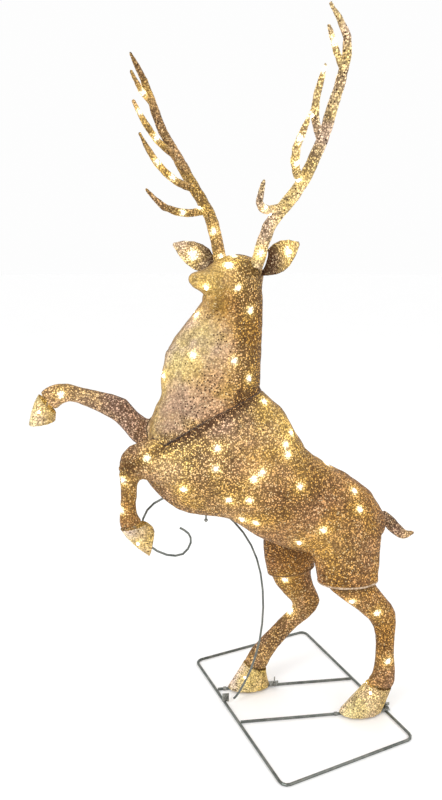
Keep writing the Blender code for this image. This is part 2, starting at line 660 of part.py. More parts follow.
def make_plug(side_name, side, head, antler_parent, head_parent):
    """Peg on the antler and the socket inside the skull that it slides in."""
    axis = mirrored(ANTLER_AXIS, side)
    seat = mirrored(PLUG_SEAT, side)
    low = seat - axis * ANTLER_TRAVEL
    peg = cylinder("antler_peg_" + side_name, low, seat + axis * 0.020, 0.005, zinc(), antler_parent,
                   segments=12)
    tube("antler_socket_" + side_name, low - axis * 0.006, low + axis * 0.018, 0.0056, 0.0076, zinc(),
         head_parent, segments=12)
    hole = cylinder("peg_hole_" + side_name, low, seat + axis * 0.03, 0.0058, None, head_parent, cutter=True,
                    segments=12)
    cut(head, hole)
    bore = cylinder("peg_bore_" + side_name, seat - axis * 0.03, seat + axis * 0.0203, 0.0053, None,
                    antler_parent, cutter=True, segments=12)
    return peg, bore


def make_leg(name, clears, count=10):
    sections = LEGS[name]
    rows = rows_between(sections, 0, len(sections) - 1, len(sections) + 3)
    leg = add(name + "_cover", loft(name, rows, count), glitter_mesh())
    shell(leg)
    for clear in clears:
        cut(leg, clear)
    return leg


def hoof_sections(name):
    """A hoof's sections, starting just below the end of its leg."""
    kind, side = name.split("_")
    leg = LEGS[{"forehoof": "foreleg_", "hindhoof": "shank_"}[kind] + side][-1]
    below = HOOVES[name][0]
    across = Vector((leg[0] - leg[2], leg[1] - leg[3])).normalized()
    down = Vector((-across.y, across.x))
    if down.dot(Vector((below[0] - leg[0], below[1] - leg[1]))) < 0:
        down = -down
    step = down * HOOF_GAP
    top = (leg[0] + step.x, leg[1] + step.y, leg[2] + step.x, leg[3] + step.y, leg[4], leg[5])
    return [top] + HOOVES[name]


def make_hoof(name):
    sections = hoof_sections(name)
    rows = rows_between(sections, 0, len(sections) - 1, 4)
    hoof = add(name, loft(name, rows, 12, cap_end=True), hoof_mesh())
    shell(hoof)


def middle_line(sections):
    """The middle of each section."""
    return [Vector(((r[0] + r[2]) / 2, r[4], (r[1] + r[3]) / 2)) for r in sections]


def make_leg_rods():
    for side in ("left", "right"):
        fore = middle_line(LEGS["foreleg_" + side][2:]) + middle_line(HOOVES["forehoof_" + side][:1])
        rod("foreleg_rod_" + side, smooth_points(fore, 2), LEG_RADII["foreleg"], frame_paint(), sides=1)
        hind = middle_line(LEGS["thigh_" + side][2:3] + LEGS["shank_" + side][1:])
        hind += middle_line(HOOVES["hindhoof_" + side][:1])
        rod("hind_leg_rod_" + side, smooth_points(hind, 2), LEG_RADII["hind"], frame_paint(), sides=1)


def make_tail(clear):
    points = smooth_points([(x, 0.0, z) for x, z, _ in TAIL], 3)
    radii = [r[0] for r in (blend_rows([(t[2],) for t in TAIL], i / 3) for i in range(len(points)))]
    tail = as_mesh(rod("tail_cover", points, 1.0, glitter_mesh(), radii=radii), glitter_mesh())
    cut(tail, clear)
    return tail


# Inner frames and lights --------------------------------------------------------------------------------
def wire_cage(name, rows, count, parent, inset=FRAME_INSET):
    """Hoops and stringers welded to one cage under a cover."""
    cage = add(name, loft(name, rows, count, grow=-inset, shift=0.5), frame_paint(), parent)
    wires = cage.modifiers.new("wires", "WIREFRAME")
    wires.thickness = FRAME_WIRE
    wires.use_even_offset = False
    wires.use_boundary = True
    wires.use_replace = True
    return cage


def light_string(name, rows, turns, parent, share=0.55, per_turn=10):
    """A cable wound loosely inside a section."""
    total = int(turns * per_turn)
    points = []
    for i in range(total + 1):
        row = blend_rows(rows, (len(rows) - 1) * i / total)
        middle = Vector(((row[0] + row[2]) / 2, row[4], (row[1] + row[3]) / 2))
        reach = Vector((row[0] - row[2], 0.0, row[1] - row[3])) / 2
        a = 2 * math.pi * i / per_turn
        points.append(middle + reach * math.cos(a) * share + Vector((0.0, row[5] * math.sin(a) * share, 0.0)))
    return rod(name, points, 0.0018, light_wire(), parent, sides=0)


# Assembly -----------------------------------------------------------------------------------------------
make_stand()
make_support()
make_belly_bolt()
for hoof_side in ("left", "right"):
    make_hoof_fixings(hoof_side)

neck_body = empty("neck_plug", (SEAM_BACK[0], 0.0, SEAM_BACK[1]))
neck_space = empty("neck_space", (-SEAM_BACK[0], 0.0, -SEAM_BACK[1]), parent=neck_body)
head_space = empty("head_space", HEAD_PLACE, (0.0, 0.0, HEAD_TURN), neck_space)

shoulder_cover, rump_cover, torso_clear = make_torso()
neck_cover = make_neck(neck_space)
above = seam_block("seam_above", True, -GAP / 2)
below = seam_block("seam_below", False, GAP / 2)
cut(shoulder_cover, above)
cut(neck_cover, below)
support_clear = bpy.data.objects["support_clearance"]
cut(shoulder_cover, support_clear)
cut(rump_cover, support_clear)
cut(shoulder_cover, bpy.data.objects["belly_clearance"])

for side_name, side in (("left", -1), ("right", 1)):
    make_neck_post(side_name, side, neck_space)

head_cover, head_clear = make_head(head_space)
for side_name, side in (("left", 1), ("right", -1)):
    make_ear("ear_" + side_name, side, head_space, head_clear)
    slide = empty("antler_plug_" + side_name, mirrored(PLUG_SEAT, side), parent=head_space)
    space = empty("antler_space_" + side_name, -slide.location, parent=slide)
    antler = make_antler("antler_" + side_name, side, space, head_clear)
    antler_peg, antler_bore = make_plug(side_name, side, head_cover, space, head_space)
    cut(antler, antler_bore)

neck_path = make_neck_path(below)
for leg_name in ("foreleg_left", "foreleg_right"):
    make_leg(leg_name, [torso_clear, neck_path])
for leg_name in ("thigh_left", "thigh_right"):
    make_leg(leg_name, [torso_clear], 16)
for leg_name in ("shank_left", "shank_right"):
    make_leg(leg_name, [])
for hoof_name in HOOVES:
    make_hoof(hoof_name)
make_leg_rods()
make_tail(torso_clear)

torso_cage = wire_cage("torso_frame", rows_between(TORSO, 1.3, len(TORSO) - 2, 9), 8, None)
cut(torso_cage, support_clear)
cut(torso_cage, above)
neck_cage = wire_cage("neck_frame", rows_between(NECK, 1.4, len(NECK) - 1.2, 6), 8, neck_space)
cut(neck_cage, below)
head_cage = wire_cage("head_frame", rows_between(HEAD, 0.6, len(HEAD) - 2, 5), 8, head_space)
for side_name, side in (("left", 1), ("right", -1)):
    seat, axis = mirrored(PLUG_SEAT, side), mirrored(ANTLER_AXIS, side)
    cut(head_cage, cylinder("socket_room_" + side_name, seat - axis * 0.06, seat + axis * 0.03, 0.0085, None,
                            head_space, cutter=True, segments=12))
light_string("torso_light_string", rows_between(TORSO, 5.4, len(TORSO) - 2.2, 8), 4, None)
light_string("neck_light_string", rows_between(NECK, 3.4, len(NECK) - 1.3, 6), 3, neck_space)

# The whole stands with the middle of its outline over the origin -------------------------------------------
bpy.context.view_layer.update()
sight = bpy.context.evaluated_depsgraph_get()
outline = []
for piece in PARTS.objects:
    if piece.type != "EMPTY":
        shape = piece.evaluated_get(sight)
        outline += [shape.matrix_world @ v.co for v in shape.to_mesh().vertices]
centre = [(min(p[k] for p in outline) + max(p[k] for p in outline)) / 2 for k in (0, 1)]
ground = empty("ground", (-centre[0], -centre[1], 0.0))
for piece in [*PARTS.objects, *CUTTERS.objects]:
    if piece.parent is None and piece != ground:
        piece.parent = ground
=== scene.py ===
"""Looks of the light-up yard reindeer: glitter-mesh skins over the frame, warm lights, metal stand.

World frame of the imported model: metres, +Z up, the stag looks along -X and its left side is at -Y.
"""

import json
import math

import bmesh
import bpy
import numpy as np
from mathutils import Matrix, Vector, noise
from mathutils.bvhtree import BVHTree


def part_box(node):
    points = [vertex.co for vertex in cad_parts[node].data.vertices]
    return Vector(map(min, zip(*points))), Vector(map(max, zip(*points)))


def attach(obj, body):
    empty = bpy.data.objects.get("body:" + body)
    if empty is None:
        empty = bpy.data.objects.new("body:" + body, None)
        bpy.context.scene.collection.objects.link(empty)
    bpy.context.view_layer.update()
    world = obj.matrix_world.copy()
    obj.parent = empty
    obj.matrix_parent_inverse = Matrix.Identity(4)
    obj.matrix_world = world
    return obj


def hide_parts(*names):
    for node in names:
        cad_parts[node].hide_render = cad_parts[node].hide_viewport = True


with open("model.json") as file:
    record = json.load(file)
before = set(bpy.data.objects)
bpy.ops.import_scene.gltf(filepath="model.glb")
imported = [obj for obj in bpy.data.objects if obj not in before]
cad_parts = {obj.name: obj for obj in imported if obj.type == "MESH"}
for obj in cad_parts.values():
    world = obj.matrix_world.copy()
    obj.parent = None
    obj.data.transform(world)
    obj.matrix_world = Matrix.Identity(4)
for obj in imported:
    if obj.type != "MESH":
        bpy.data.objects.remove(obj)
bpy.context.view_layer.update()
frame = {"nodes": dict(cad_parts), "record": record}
NODES = frame["nodes"]

# Driving sizes ------------------------------------------------------------------------------------------
MIDDLE_Y = -0.010               # the stag's plane of symmetry
MERGE = 0.00002                 # corners closer than this are one corner
FOLD = math.radians(62)         # faces that meet at a sharper angle belong to different walls
LID = 0.0035                    # a hoof's skin is open from this far below its cover's end
RIM_LENGTH = 0.12               # a cover's open end is longer round than this
SKIN_VOXEL = 0.0055
FINE_VOXEL = 0.0028
FOOT_VOXEL = 0.0030             # hooves and tail
EAR_VOXEL = 0.0017
SKIN_LIFT = 0.0012              # how far a skin stands off its CAD cover
SAG = 0.0032                    # how far the mesh sinks between the wires of the frame
CREASE = 0.0016
SEAM_UP = Vector(next(j["axis"] for j in frame["record"]["behaviour"]["joints"] if j["name"] == "neck_lift"))
NAPE = Vector((0.084, MIDDLE_Y, 1.070))  # the neck seam's middle at the nape
SEAM_RADIUS = 0.300             # the neck sags into the shoulders on this radius
BULB = 0.0046                   # a bulb's radius
AROUND = 10                     # faces round a bulb or a hem
CLOSING = 0.0045                # pinholes in the blended skin close up by this much all round
SLEEVES = {"thigh_left": 0.0034, "thigh_right": 0.0006}  # how far each thigh's hem stands off the leg
PADDING = [  # (middle, half sizes): under the jaw, the brisket, and where the lifted foreleg joins
    ((-0.052, -0.072, 1.345), (0.040, 0.046, 0.040)),
    ((-0.203, 0.020, 0.975), (0.037, 0.060, 0.030)),
    ((-0.232, 0.056, 0.932), (0.044, 0.040, 0.042)),
]
EAR_LIGHTS = {"left": (0.129, -0.145, 1.471), "right": (-0.103, 0.092, 1.462)}
HEAD_PLACE = (0.011, -0.025, 1.440)
HEAD_TURN = math.radians(-135)
CHIN_START, CHIN_END = 0.120, 0.178  # ahead of the head's middle
BROW_RISE = 0.011
CHIN_RISE = 0.34                # share of the muzzle's depth that is taken off at the lips
JAW_DROP = 0.012                # from the head's middle to where the face starts to turn under
JAW_SLOPE = 0.16
HEM_RISE = 0.003                # a thigh's hem runs this far above the cover's lower end
LEG_ROOM = 1.25                 # points within this many times a thigh's reach belong to its leg
NECK_AHEAD = 0.42               # the neck's foremost point, ahead of the nape
SEAM_HALF_GAP = 0.0006

# Where the lights come through the mesh, as (x, z) on the side they are seen from
LIGHTS_BODY = [
    (0.090, 1.045), (-0.055, 0.930), (-0.060, 0.870), (0.170, 0.950), (0.150, 0.925), (0.155, 0.895),
    (0.075, 0.855), (0.050, 0.835), (0.190, 0.800), (0.040, 0.768), (-0.020, 0.768), (0.025, 0.690),
    (0.065, 0.685), (0.370, 0.762), (0.380, 0.715), (0.263, 0.662), (0.198, 0.612), (-0.150, 0.800),
    (0.300, 0.830), (0.330, 0.560),
]
LIGHTS_HEAD = [
    (0.002, 1.458), (-0.020, 1.434), (-0.087, 1.379), (0.006, 1.375), (0.044, 1.313), (-0.101, 1.297),
    (-0.118, 1.191), (-0.004, 1.174), (-0.198, 1.123), (0.040, 1.120),
]
LIGHTS_LEGS = [  # (x, z, y the leg is at)
    (0.188, 0.420, 0.068), (0.218, 0.285, 0.068), (0.363, 0.422, -0.102), (0.444, 0.378, -0.102),
    (-0.253, 0.904, -0.080), (-0.322, 0.835, -0.080), (-0.300, 1.035, 0.060), (-0.500, 1.060, 0.060),
    (0.492, 0.200, -0.102), (0.080, 0.150, 0.068), (0.440, 0.090, -0.102), (0.060, 0.060, 0.068),
    (-0.330, 0.740, -0.080), (-0.285, 0.640, -0.080), (-0.565, 1.010, 0.060),
]
LIGHTS_ANTLER = [0.10, 0.17, 0.25, 0.33, 0.42, 0.52, 0.62, 0.72, 0.84]  # shares of the antler's height
HALOS_BODY = ((0.0105, 2.8), (0.024, 0.44), (0.0624, 0.09))  # width and strength of the shine round a light
HALOS_ANTLER = ((0.010, 2.0), (0.020, 0.7), (0.045, 0.16))
HALOS_EAR = ((0.014, 2.6), (0.032, 0.8))
HALOS_HOOF = ((0.026, 0.5),)
HALOS_TAIL = ((0.030, 0.35),)

# Mean colour of the mesh at places on the stag, with painted light and shade in it: paler on the chest that
# faces the light, darker on the shaded nape side of the neck and under the jaw: (x, y, z), colour
TONES_BODY = [
    ((-0.050, -0.130, 0.980), (0.52, 0.345, 0.215)),
    # painted light: the chest faces the light and is paler
    ((-0.180, -0.110, 0.900), (0.70, 0.49, 0.250)),
    ((-0.100, -0.120, 0.780), (0.47, 0.29, 0.110)),
    ((0.060, -0.130, 0.860), (0.48, 0.285, 0.120)),
    ((0.120, -0.080, 0.980), (0.57, 0.38, 0.170)),
    ((0.150, -0.120, 0.760), (0.42, 0.235, 0.085)),
    ((0.280, -0.110, 0.720), (0.37, 0.20, 0.086)),
    ((0.400, -0.080, 0.720), (0.39, 0.205, 0.062)),
    ((0.330, -0.130, 0.600), (0.43, 0.255, 0.105)),
    ((0.360, -0.100, 0.450), (0.40, 0.21, 0.075)),
    ((0.490, -0.100, 0.250), (0.34, 0.175, 0.058)),
    ((0.480, -0.100, 0.130), (0.36, 0.20, 0.095)),
    ((0.220, 0.080, 0.480), (0.31, 0.145, 0.045)),
    ((0.200, 0.080, 0.300), (0.34, 0.20, 0.090)),
    ((0.110, 0.080, 0.180), (0.43, 0.270, 0.165)),
    ((-0.300, -0.080, 0.860), (0.24, 0.135, 0.075)),
    ((-0.310, -0.080, 0.740), (0.27, 0.130, 0.042)),
    ((-0.300, 0.060, 1.000), (0.50, 0.340, 0.220)),
    ((-0.420, 0.060, 1.060), (0.50, 0.345, 0.260)),
    ((-0.520, 0.060, 1.050), (0.45, 0.29, 0.200)),
]
TONES_HEAD = [
    ((-0.240, -0.020, 1.060), (0.60, 0.46, 0.230)),
    ((-0.170, -0.090, 1.040), (0.46, 0.31, 0.190)),
    ((-0.150, -0.060, 1.180), (0.54, 0.44, 0.310)),
    ((-0.100, -0.080, 1.240), (0.52, 0.41, 0.300)),
    ((-0.060, -0.110, 1.100), (0.50, 0.31, 0.150)),
    # painted shade on the nape side of the neck, away from the light (this and the next two places)
    ((0.040, -0.100, 1.080), (0.42, 0.235, 0.080)),
    ((0.060, -0.080, 1.250), (0.37, 0.195, 0.055)),
    ((0.060, 0.020, 1.150), (0.36, 0.190, 0.055)),
    ((0.010, -0.060, 1.420), (0.47, 0.32, 0.130)),
    ((-0.090, -0.160, 1.390), (0.42, 0.29, 0.150)),
    # painted shadow under the jaw
    ((-0.020, -0.080, 1.340), (0.36, 0.19, 0.060)),
    ((0.070, 0.010, 1.400), (0.44, 0.27, 0.095)),
]
CREASES = [  # (x, z) along each crease, and its half width
    ([(0.037, 1.309), (0.022, 1.257)], 0.0040),
    ([(-0.196, 1.198), (-0.131, 1.184), (-0.011, 1.179)], 0.0030),
    ([(-0.059, 1.307), (-0.129, 1.235), (-0.140, 1.187)], 0.0040),
    ([(-0.148, 1.123), (-0.152, 1.004)], 0.0035),
    ([(0.027, 0.932), (-0.003, 0.897), (-0.078, 0.848)], 0.0035),
    ([(-0.060, 1.005), (-0.160, 0.930)], 0.0030),
    ([(0.060, 1.020), (-0.010, 0.968), (-0.120, 0.905)], 0.0028),
    ([(0.330, 0.540), (0.400, 0.520)], 0.0040),
    ([(-0.010, 1.110), (-0.080, 1.062), (-0.150, 1.030)], 0.0030),
]
OUTLINE_SHADE = (0.46, 0.54, 0.60)   # painted shade round the outline: the mesh darkens where it turns edge on to the sides, down the front and back of the legs, neck and body, where the wires run
RIM_WIDTH = {"skin": 0.27, "hoof": 0.18}  # how far round from the outline the painted shade still reaches
SEAM_FOLD_SHADE = (0.40, 0.49, 0.56)  # how much painted shade darkens the folds at the neck seam
# painted shade in the creases
CREASE_SHADE = 0.42
HEM_FADE = 0.62                 # the leg is in the shade of the thigh's hem
SHADED = [  # (place, size, depth): painted shade in the hollows where the mesh doubles up
    ((-0.052, -0.115, 1.325), 0.024, 0.55), ((0.020, -0.090, 1.365), 0.016, 0.25),
    ((-0.205, -0.060, 0.965), 0.030, 0.45), ((0.290, -0.110, 0.515), 0.026, 0.40),
    ((0.340, -0.125, 0.500), 0.026, 0.40), ((0.245, 0.020, 0.560), 0.035, 0.45),
]
STRETCHED = [  # ((x, z), radius, share of open holes)
    ((-0.035, 1.225), 0.035, 0.55), ((-0.100, 1.120), 0.035, 0.45), ((-0.060, 1.100), 0.040, 0.65),
    ((-0.120, 1.060), 0.030, 0.70), ((-0.140, 1.010), 0.030, 0.45), ((-0.020, 1.150), 0.025, 0.35),
    ((-0.060, 1.290), 0.022, 0.40),
]
# painted light and shade: the left antler, toward the light, is paler than the right one in shade
TONE_ANTLER = {"left": (0.70, 0.54, 0.36), "right": (0.42, 0.27, 0.115)}
TONE_EAR = {"left": (0.46, 0.34, 0.21), "right": (0.46, 0.36, 0.24)}
TONE_HOOF = (0.52, 0.38, 0.165)
TONE_TOE = (0.62, 0.52, 0.40)
TONE_TAIL = (0.44, 0.30, 0.19)


# Mesh helpers -------------------------------------------------------------------------------------------
def new_object(name, data):
    made = bpy.data.objects.new(name, data)
    bpy.context.scene.collection.objects.link(made)
    return made


def object_from(name, work):
    """A new object with the mesh that was worked on."""
    data = bpy.data.meshes.new(name)
    work.to_mesh(data)
    work.free()
    return new_object(name, data)


def solid_of(node):
    """A CAD node's shape, with its doubled corners joined."""
    work = bmesh.new()
    work.from_mesh(NODES[node].data)
    bmesh.ops.remove_doubles(work, verts=work.verts, dist=MERGE)
    return work


def surface_tree(names):
    """The surface of CAD nodes, to measure from."""
    whole = bmesh.new()
    for name in names:
        whole.from_mesh(NODES[name].data)
    tree = BVHTree.FromBMesh(whole)
    whole.free()
    return tree


def loop_plane(loop):
    """Middle of a closed line, and the way it faces."""
    middle = sum(loop, Vector()) / len(loop)
    facing = Vector()
    for a, b in zip(loop, loop[1:] + loop[:1]):
        facing += (a - middle).cross(b - middle)
    return middle, facing.normalized()


def angles(count):
    return [2 * math.pi * k / count for k in range(count)]


def fan(work, tip, ring):
    """Faces between a point and a ring of points."""
    for a, b in zip(ring, ring[1:] + ring[:1]):
        work.faces.new((tip, a, b))


def bridge(work, upper, lower):
    """Faces between two rings of equally many points."""
    for a, b, c, d in zip(upper, lower, lower[1:] + lower[:1], upper[1:] + upper[:1]):
        work.faces.new((a, b, c, d))


def applied(made):
    """The object with its modifiers applied."""
    shape = made.evaluated_get(bpy.context.evaluated_depsgraph_get())
    data = bpy.data.meshes.new_from_object(shape)
    made.modifiers.clear()
    old = made.data
    made.data = data
    bpy.data.meshes.remove(old)
    return made


def outer_solid(node, grow, reach, upper_only=False):
    """The outer wall of a hollow cover as a closed solid; its wide open ends are pushed out by reach.
    Returns the solid's bmesh and the loops round the open ends."""
    work = solid_of(node)
    work.normal_update()
    centre = sum((v.co for v in work.verts), Vector()) / len(work.verts)
    seen = set()
    doomed = []
    for start in work.faces:
        if start in seen:
            continue
        patch = [start]
        seen.add(start)
        for face in patch:
            for edge in face.edges:
                if len(edge.link_faces) == 2 and edge.calc_face_angle(0.0) < FOLD:
                    for other in edge.link_faces:
                        if other not in seen:
                            seen.add(other)
                            patch.append(other)
        if sum(f.normal.dot(f.calc_center_median() - centre) * f.calc_area() for f in patch) <= 0:
            doomed += patch
    bmesh.ops.delete(work, geom=doomed, context="FACES")
    open_edges = [e for e in work.edges if len(e.link_faces) == 1]
    filled = bmesh.ops.holes_fill(work, edges=open_edges, sides=0)["faces"]
    bmesh.ops.recalc_face_normals(work, faces=work.faces)
    work.normal_update()
    for v in work.verts:
        v.co += v.normal * grow
    loops = []
    for face in filled:
        if face.calc_perimeter() < RIM_LENGTH:
            continue
        loops.append([v.co.copy() for v in face.verts])
        if reach and not (upper_only and face.calc_center_median().z < centre.z):
            way = face.normal.copy()
            hub = face.calc_center_median()
            grown = bmesh.ops.extrude_face_region(work, geom=[face])["geom"]
            for v in [g for g in grown if isinstance(g, bmesh.types.BMVert)]:
                v.co = hub + (v.co - hub) * 0.9 + way * reach
    return work, loops


def joined(name, solids):
    """Several solids in one object."""
    whole = bmesh.new()
    for solid in solids:
        part = bpy.data.meshes.new(name + "_part")
        solid.to_mesh(part)
        solid.free()
        whole.from_mesh(part)
        bpy.data.meshes.remove(part)
    bmesh.ops.triangulate(whole, faces=whole.faces)
    return object_from(name, whole)


def blended(made, voxel, rounds):
    """One smooth skin over everything in the object."""
    remesh = made.modifiers.new("skin", "REMESH")
    remesh.mode = "VOXEL"
    remesh.voxel_size = voxel
    soften = made.modifiers.new("soften", "SMOOTH")
    soften.factor = 0.5
    soften.iterations = rounds
    return applied(made)


def points_of(made):
    co = np.zeros(len(made.data.vertices) * 3)
    made.data.vertices.foreach_get("co", co)
    return co.reshape(-1, 3)


def normals_of(made):
    no = np.zeros(len(made.data.vertices) * 3)
    made.data.vertices.foreach_get("normal", no)
    return no.reshape(-1, 3)


def set_points(made, co):
    made.data.vertices.foreach_set("co", np.asarray(co, float).ravel())
    made.data.update()


def grain(co, scale, seed):
    """Smooth noise, -1 to 1, at each point."""
    shift = Vector((seed * 7.3, seed * 3.1, seed * 5.7))
    return np.array([noise.noise(Vector(p) * scale + shift) for p in co])


def seam_height(co):
    """Height of points above the trough-shaped neck seam."""
    rel = co - np.array(NAPE)
    side = np.clip(np.abs(rel[:, 1]), 0, SEAM_RADIUS * 0.98)
    return rel @ np.array(SEAM_UP) - (SEAM_RADIUS - np.sqrt(SEAM_RADIUS ** 2 - side ** 2))


def sag_between_wires(made, cage, depth):
    """The mesh sinks in between the wires of the frame under it."""
    tree = surface_tree([cage])
    co, no = points_of(made), normals_of(made)
    for i, p in enumerate(co):
        gap = tree.find_nearest(Vector(p))[3]
        if gap and gap < 0.075:
            sunk = min(max((gap - 0.017) / 0.030, 0.0), 1.0)
            fade = min(1.0, (0.075 - gap) / 0.02)
            co[i] = p - no[i] * depth * sunk * sunk * (3 - 2 * sunk) * fade
    set_points(made, co)


def trimmed(made, gone, share=0.0):
    """Delete the faces of which more than a share of the corners is gone."""
    work = bmesh.new()
    work.from_mesh(made.data)
    work.verts.ensure_lookup_table()
    doomed = [f for f in work.faces if sum(gone[v.index] for v in f.verts) > len(f.verts) * share]
    bmesh.ops.delete(work, geom=doomed, context="FACES")
    work.to_mesh(made.data)
    work.free()
    made.data.update()


def opened(made, loop):
    """Take off the lid over an open end, given the line round it."""
    middle, lid = loop_plane(loop)
    co = points_of(made)
    if (Vector(co.mean(0)) - middle).dot(lid) > 0:
        lid = -lid
    trimmed(made, (co - np.array(middle)) @ np.array(lid) > -LID)


def snap_to_seam(made, height, near=0.02):
    """Bring the open edge onto the neck seam."""
    work = bmesh.new()
    work.from_mesh(made.data)
    rim = [v for v in work.verts if v.is_boundary]
    co = np.array([v.co[:] for v in rim])
    high = seam_height(co)
    for v, h in zip(rim, high):
        if abs(h - height) < near:
            v.co += SEAM_UP * (height - h)
    work.to_mesh(made.data)
    work.free()
    made.data.update()


def attribute(made, name, values):
    store = made.data.attributes.new(name, "FLOAT", "POINT")
    store.data.foreach_set("value", np.asarray(values, np.float32))


def colours(made, name, values):
    store = made.data.color_attributes.new(name, "FLOAT_COLOR", "POINT")
    rgba = np.ones((len(values), 4), np.float32)
    rgba[:, :3] = values
    store.data.foreach_set("color", rgba.ravel())


def tones_at(co, tones, mirror=True):
    """Colour at each point, eased between the listed places."""
    places = [np.array(p) for p, _ in tones]
    shades = np.array([c for _, c in tones])
    weights = []
    for place in places:
        gap = np.linalg.norm(co - place, axis=1)
        if mirror:
            other = place * np.array([1, -1, 1]) + np.array([0, 2 * MIDDLE_Y, 0])
            gap = np.minimum(gap, np.linalg.norm(co - other, axis=1) + 0.03)
        weights.append(1.0 / (gap + 0.012) ** 3)
    weights = np.array(weights).T
    return (weights @ shades) / weights.sum(1, keepdims=True)


def glow_at(co, lights, halos):
    """How strongly the lights shine through the mesh at each point."""
    total = np.zeros(len(co))
    for place in lights:
        gap = np.linalg.norm(co - np.array(place), axis=1)
        for width, strength in halos:
            total += np.exp(-(gap / width) ** 2) * strength
    return total


def rim_shade(skin, width):
    """How bright the mesh is at each point: painted shade darkens it round its outline, where it turns edge
    on to the stag's sides, down its front and back along the wires.
    """
    rim = np.exp(-(normals_of(skin)[:, 1] / width) ** 2)
    return 1 - np.outer(rim, OUTLINE_SHADE)


# Materials ----------------------------------------------------------------------------------------------
class Shader:
    """A node material built up call by call."""

    def __init__(self, name):
        self.material = bpy.data.materials.new(name)
        self.material.use_nodes = True
        self.tree = self.material.node_tree
        self.main = self.tree.nodes["Principled BSDF"]
        self.place = self.tree.nodes.new("ShaderNodeTexCoord").outputs["Object"]

    def node(self, kind, inputs=None, **facts):
        made = self.tree.nodes.new(kind)
        for key, value in facts.items():
            setattr(made, key, value)
        for key, value in (inputs or {}).items():
            if hasattr(value, "links"):
                self.tree.links.new(value, made.inputs[key])
            else:
                made.inputs[key].default_value = value
        return made

    def attribute(self, name, output="Fac"):
        return self.node("ShaderNodeAttribute", attribute_name=name).outputs[output]

    def math(self, operation, a, b=0.0, c=0.0, clamp=False):
        return self.node("ShaderNodeMath", {0: a, 1: b, 2: c}, operation=operation,
                         use_clamp=clamp).outputs[0]

    def ease(self, value, low, high, to_low=0.0, to_high=1.0):
        return self.node("ShaderNodeMapRange", {"Value": value, "From Min": low, "From Max": high,
                                                "To Min": to_low, "To Max": to_high},
                         interpolation_type="SMOOTHSTEP").outputs["Result"]

    def mix(self, share, a, b, blend="MIX"):
        made = self.node("ShaderNodeMix", data_type="RGBA", blend_type=blend)
        for socket, value in ((made.inputs[0], share), (made.inputs[6], a), (made.inputs[7], b)):
            if hasattr(value, "links"):
                self.tree.links.new(value, socket)
            else:
                socket.default_value = value
        return made.outputs[2]

    def cells(self, scale, output="Distance", feature="F1"):
        return self.node("ShaderNodeTexVoronoi", {"Vector": self.place, "Scale": scale},
                         feature=feature).outputs[output]

    def lots(self, scale):
        """Three random shares for each cell."""
        return self.node("ShaderNodeSeparateColor", {"Color": self.cells(scale, "Color")}).outputs

    def noise(self, scale, detail=2.0):
        return self.node("ShaderNodeTexNoise", {"Vector": self.place, "Scale": scale,
                                                "Detail": detail}).outputs["Fac"]

    def feed(self, value, socket):
        if hasattr(value, "links"):
            self.tree.links.new(value, self.main.inputs[socket])
        else:
            self.main.inputs[socket].default_value = value

    def bump(self, height, strength, distance):
        self.feed(self.node("ShaderNodeBump", {"Height": height, "Strength": strength,
                                               "Distance": distance}).outputs["Normal"], "Normal")


def rgba(colour):
    return (*colour, 1.0)


def grey(level):
    return (level, level, level, 1.0)


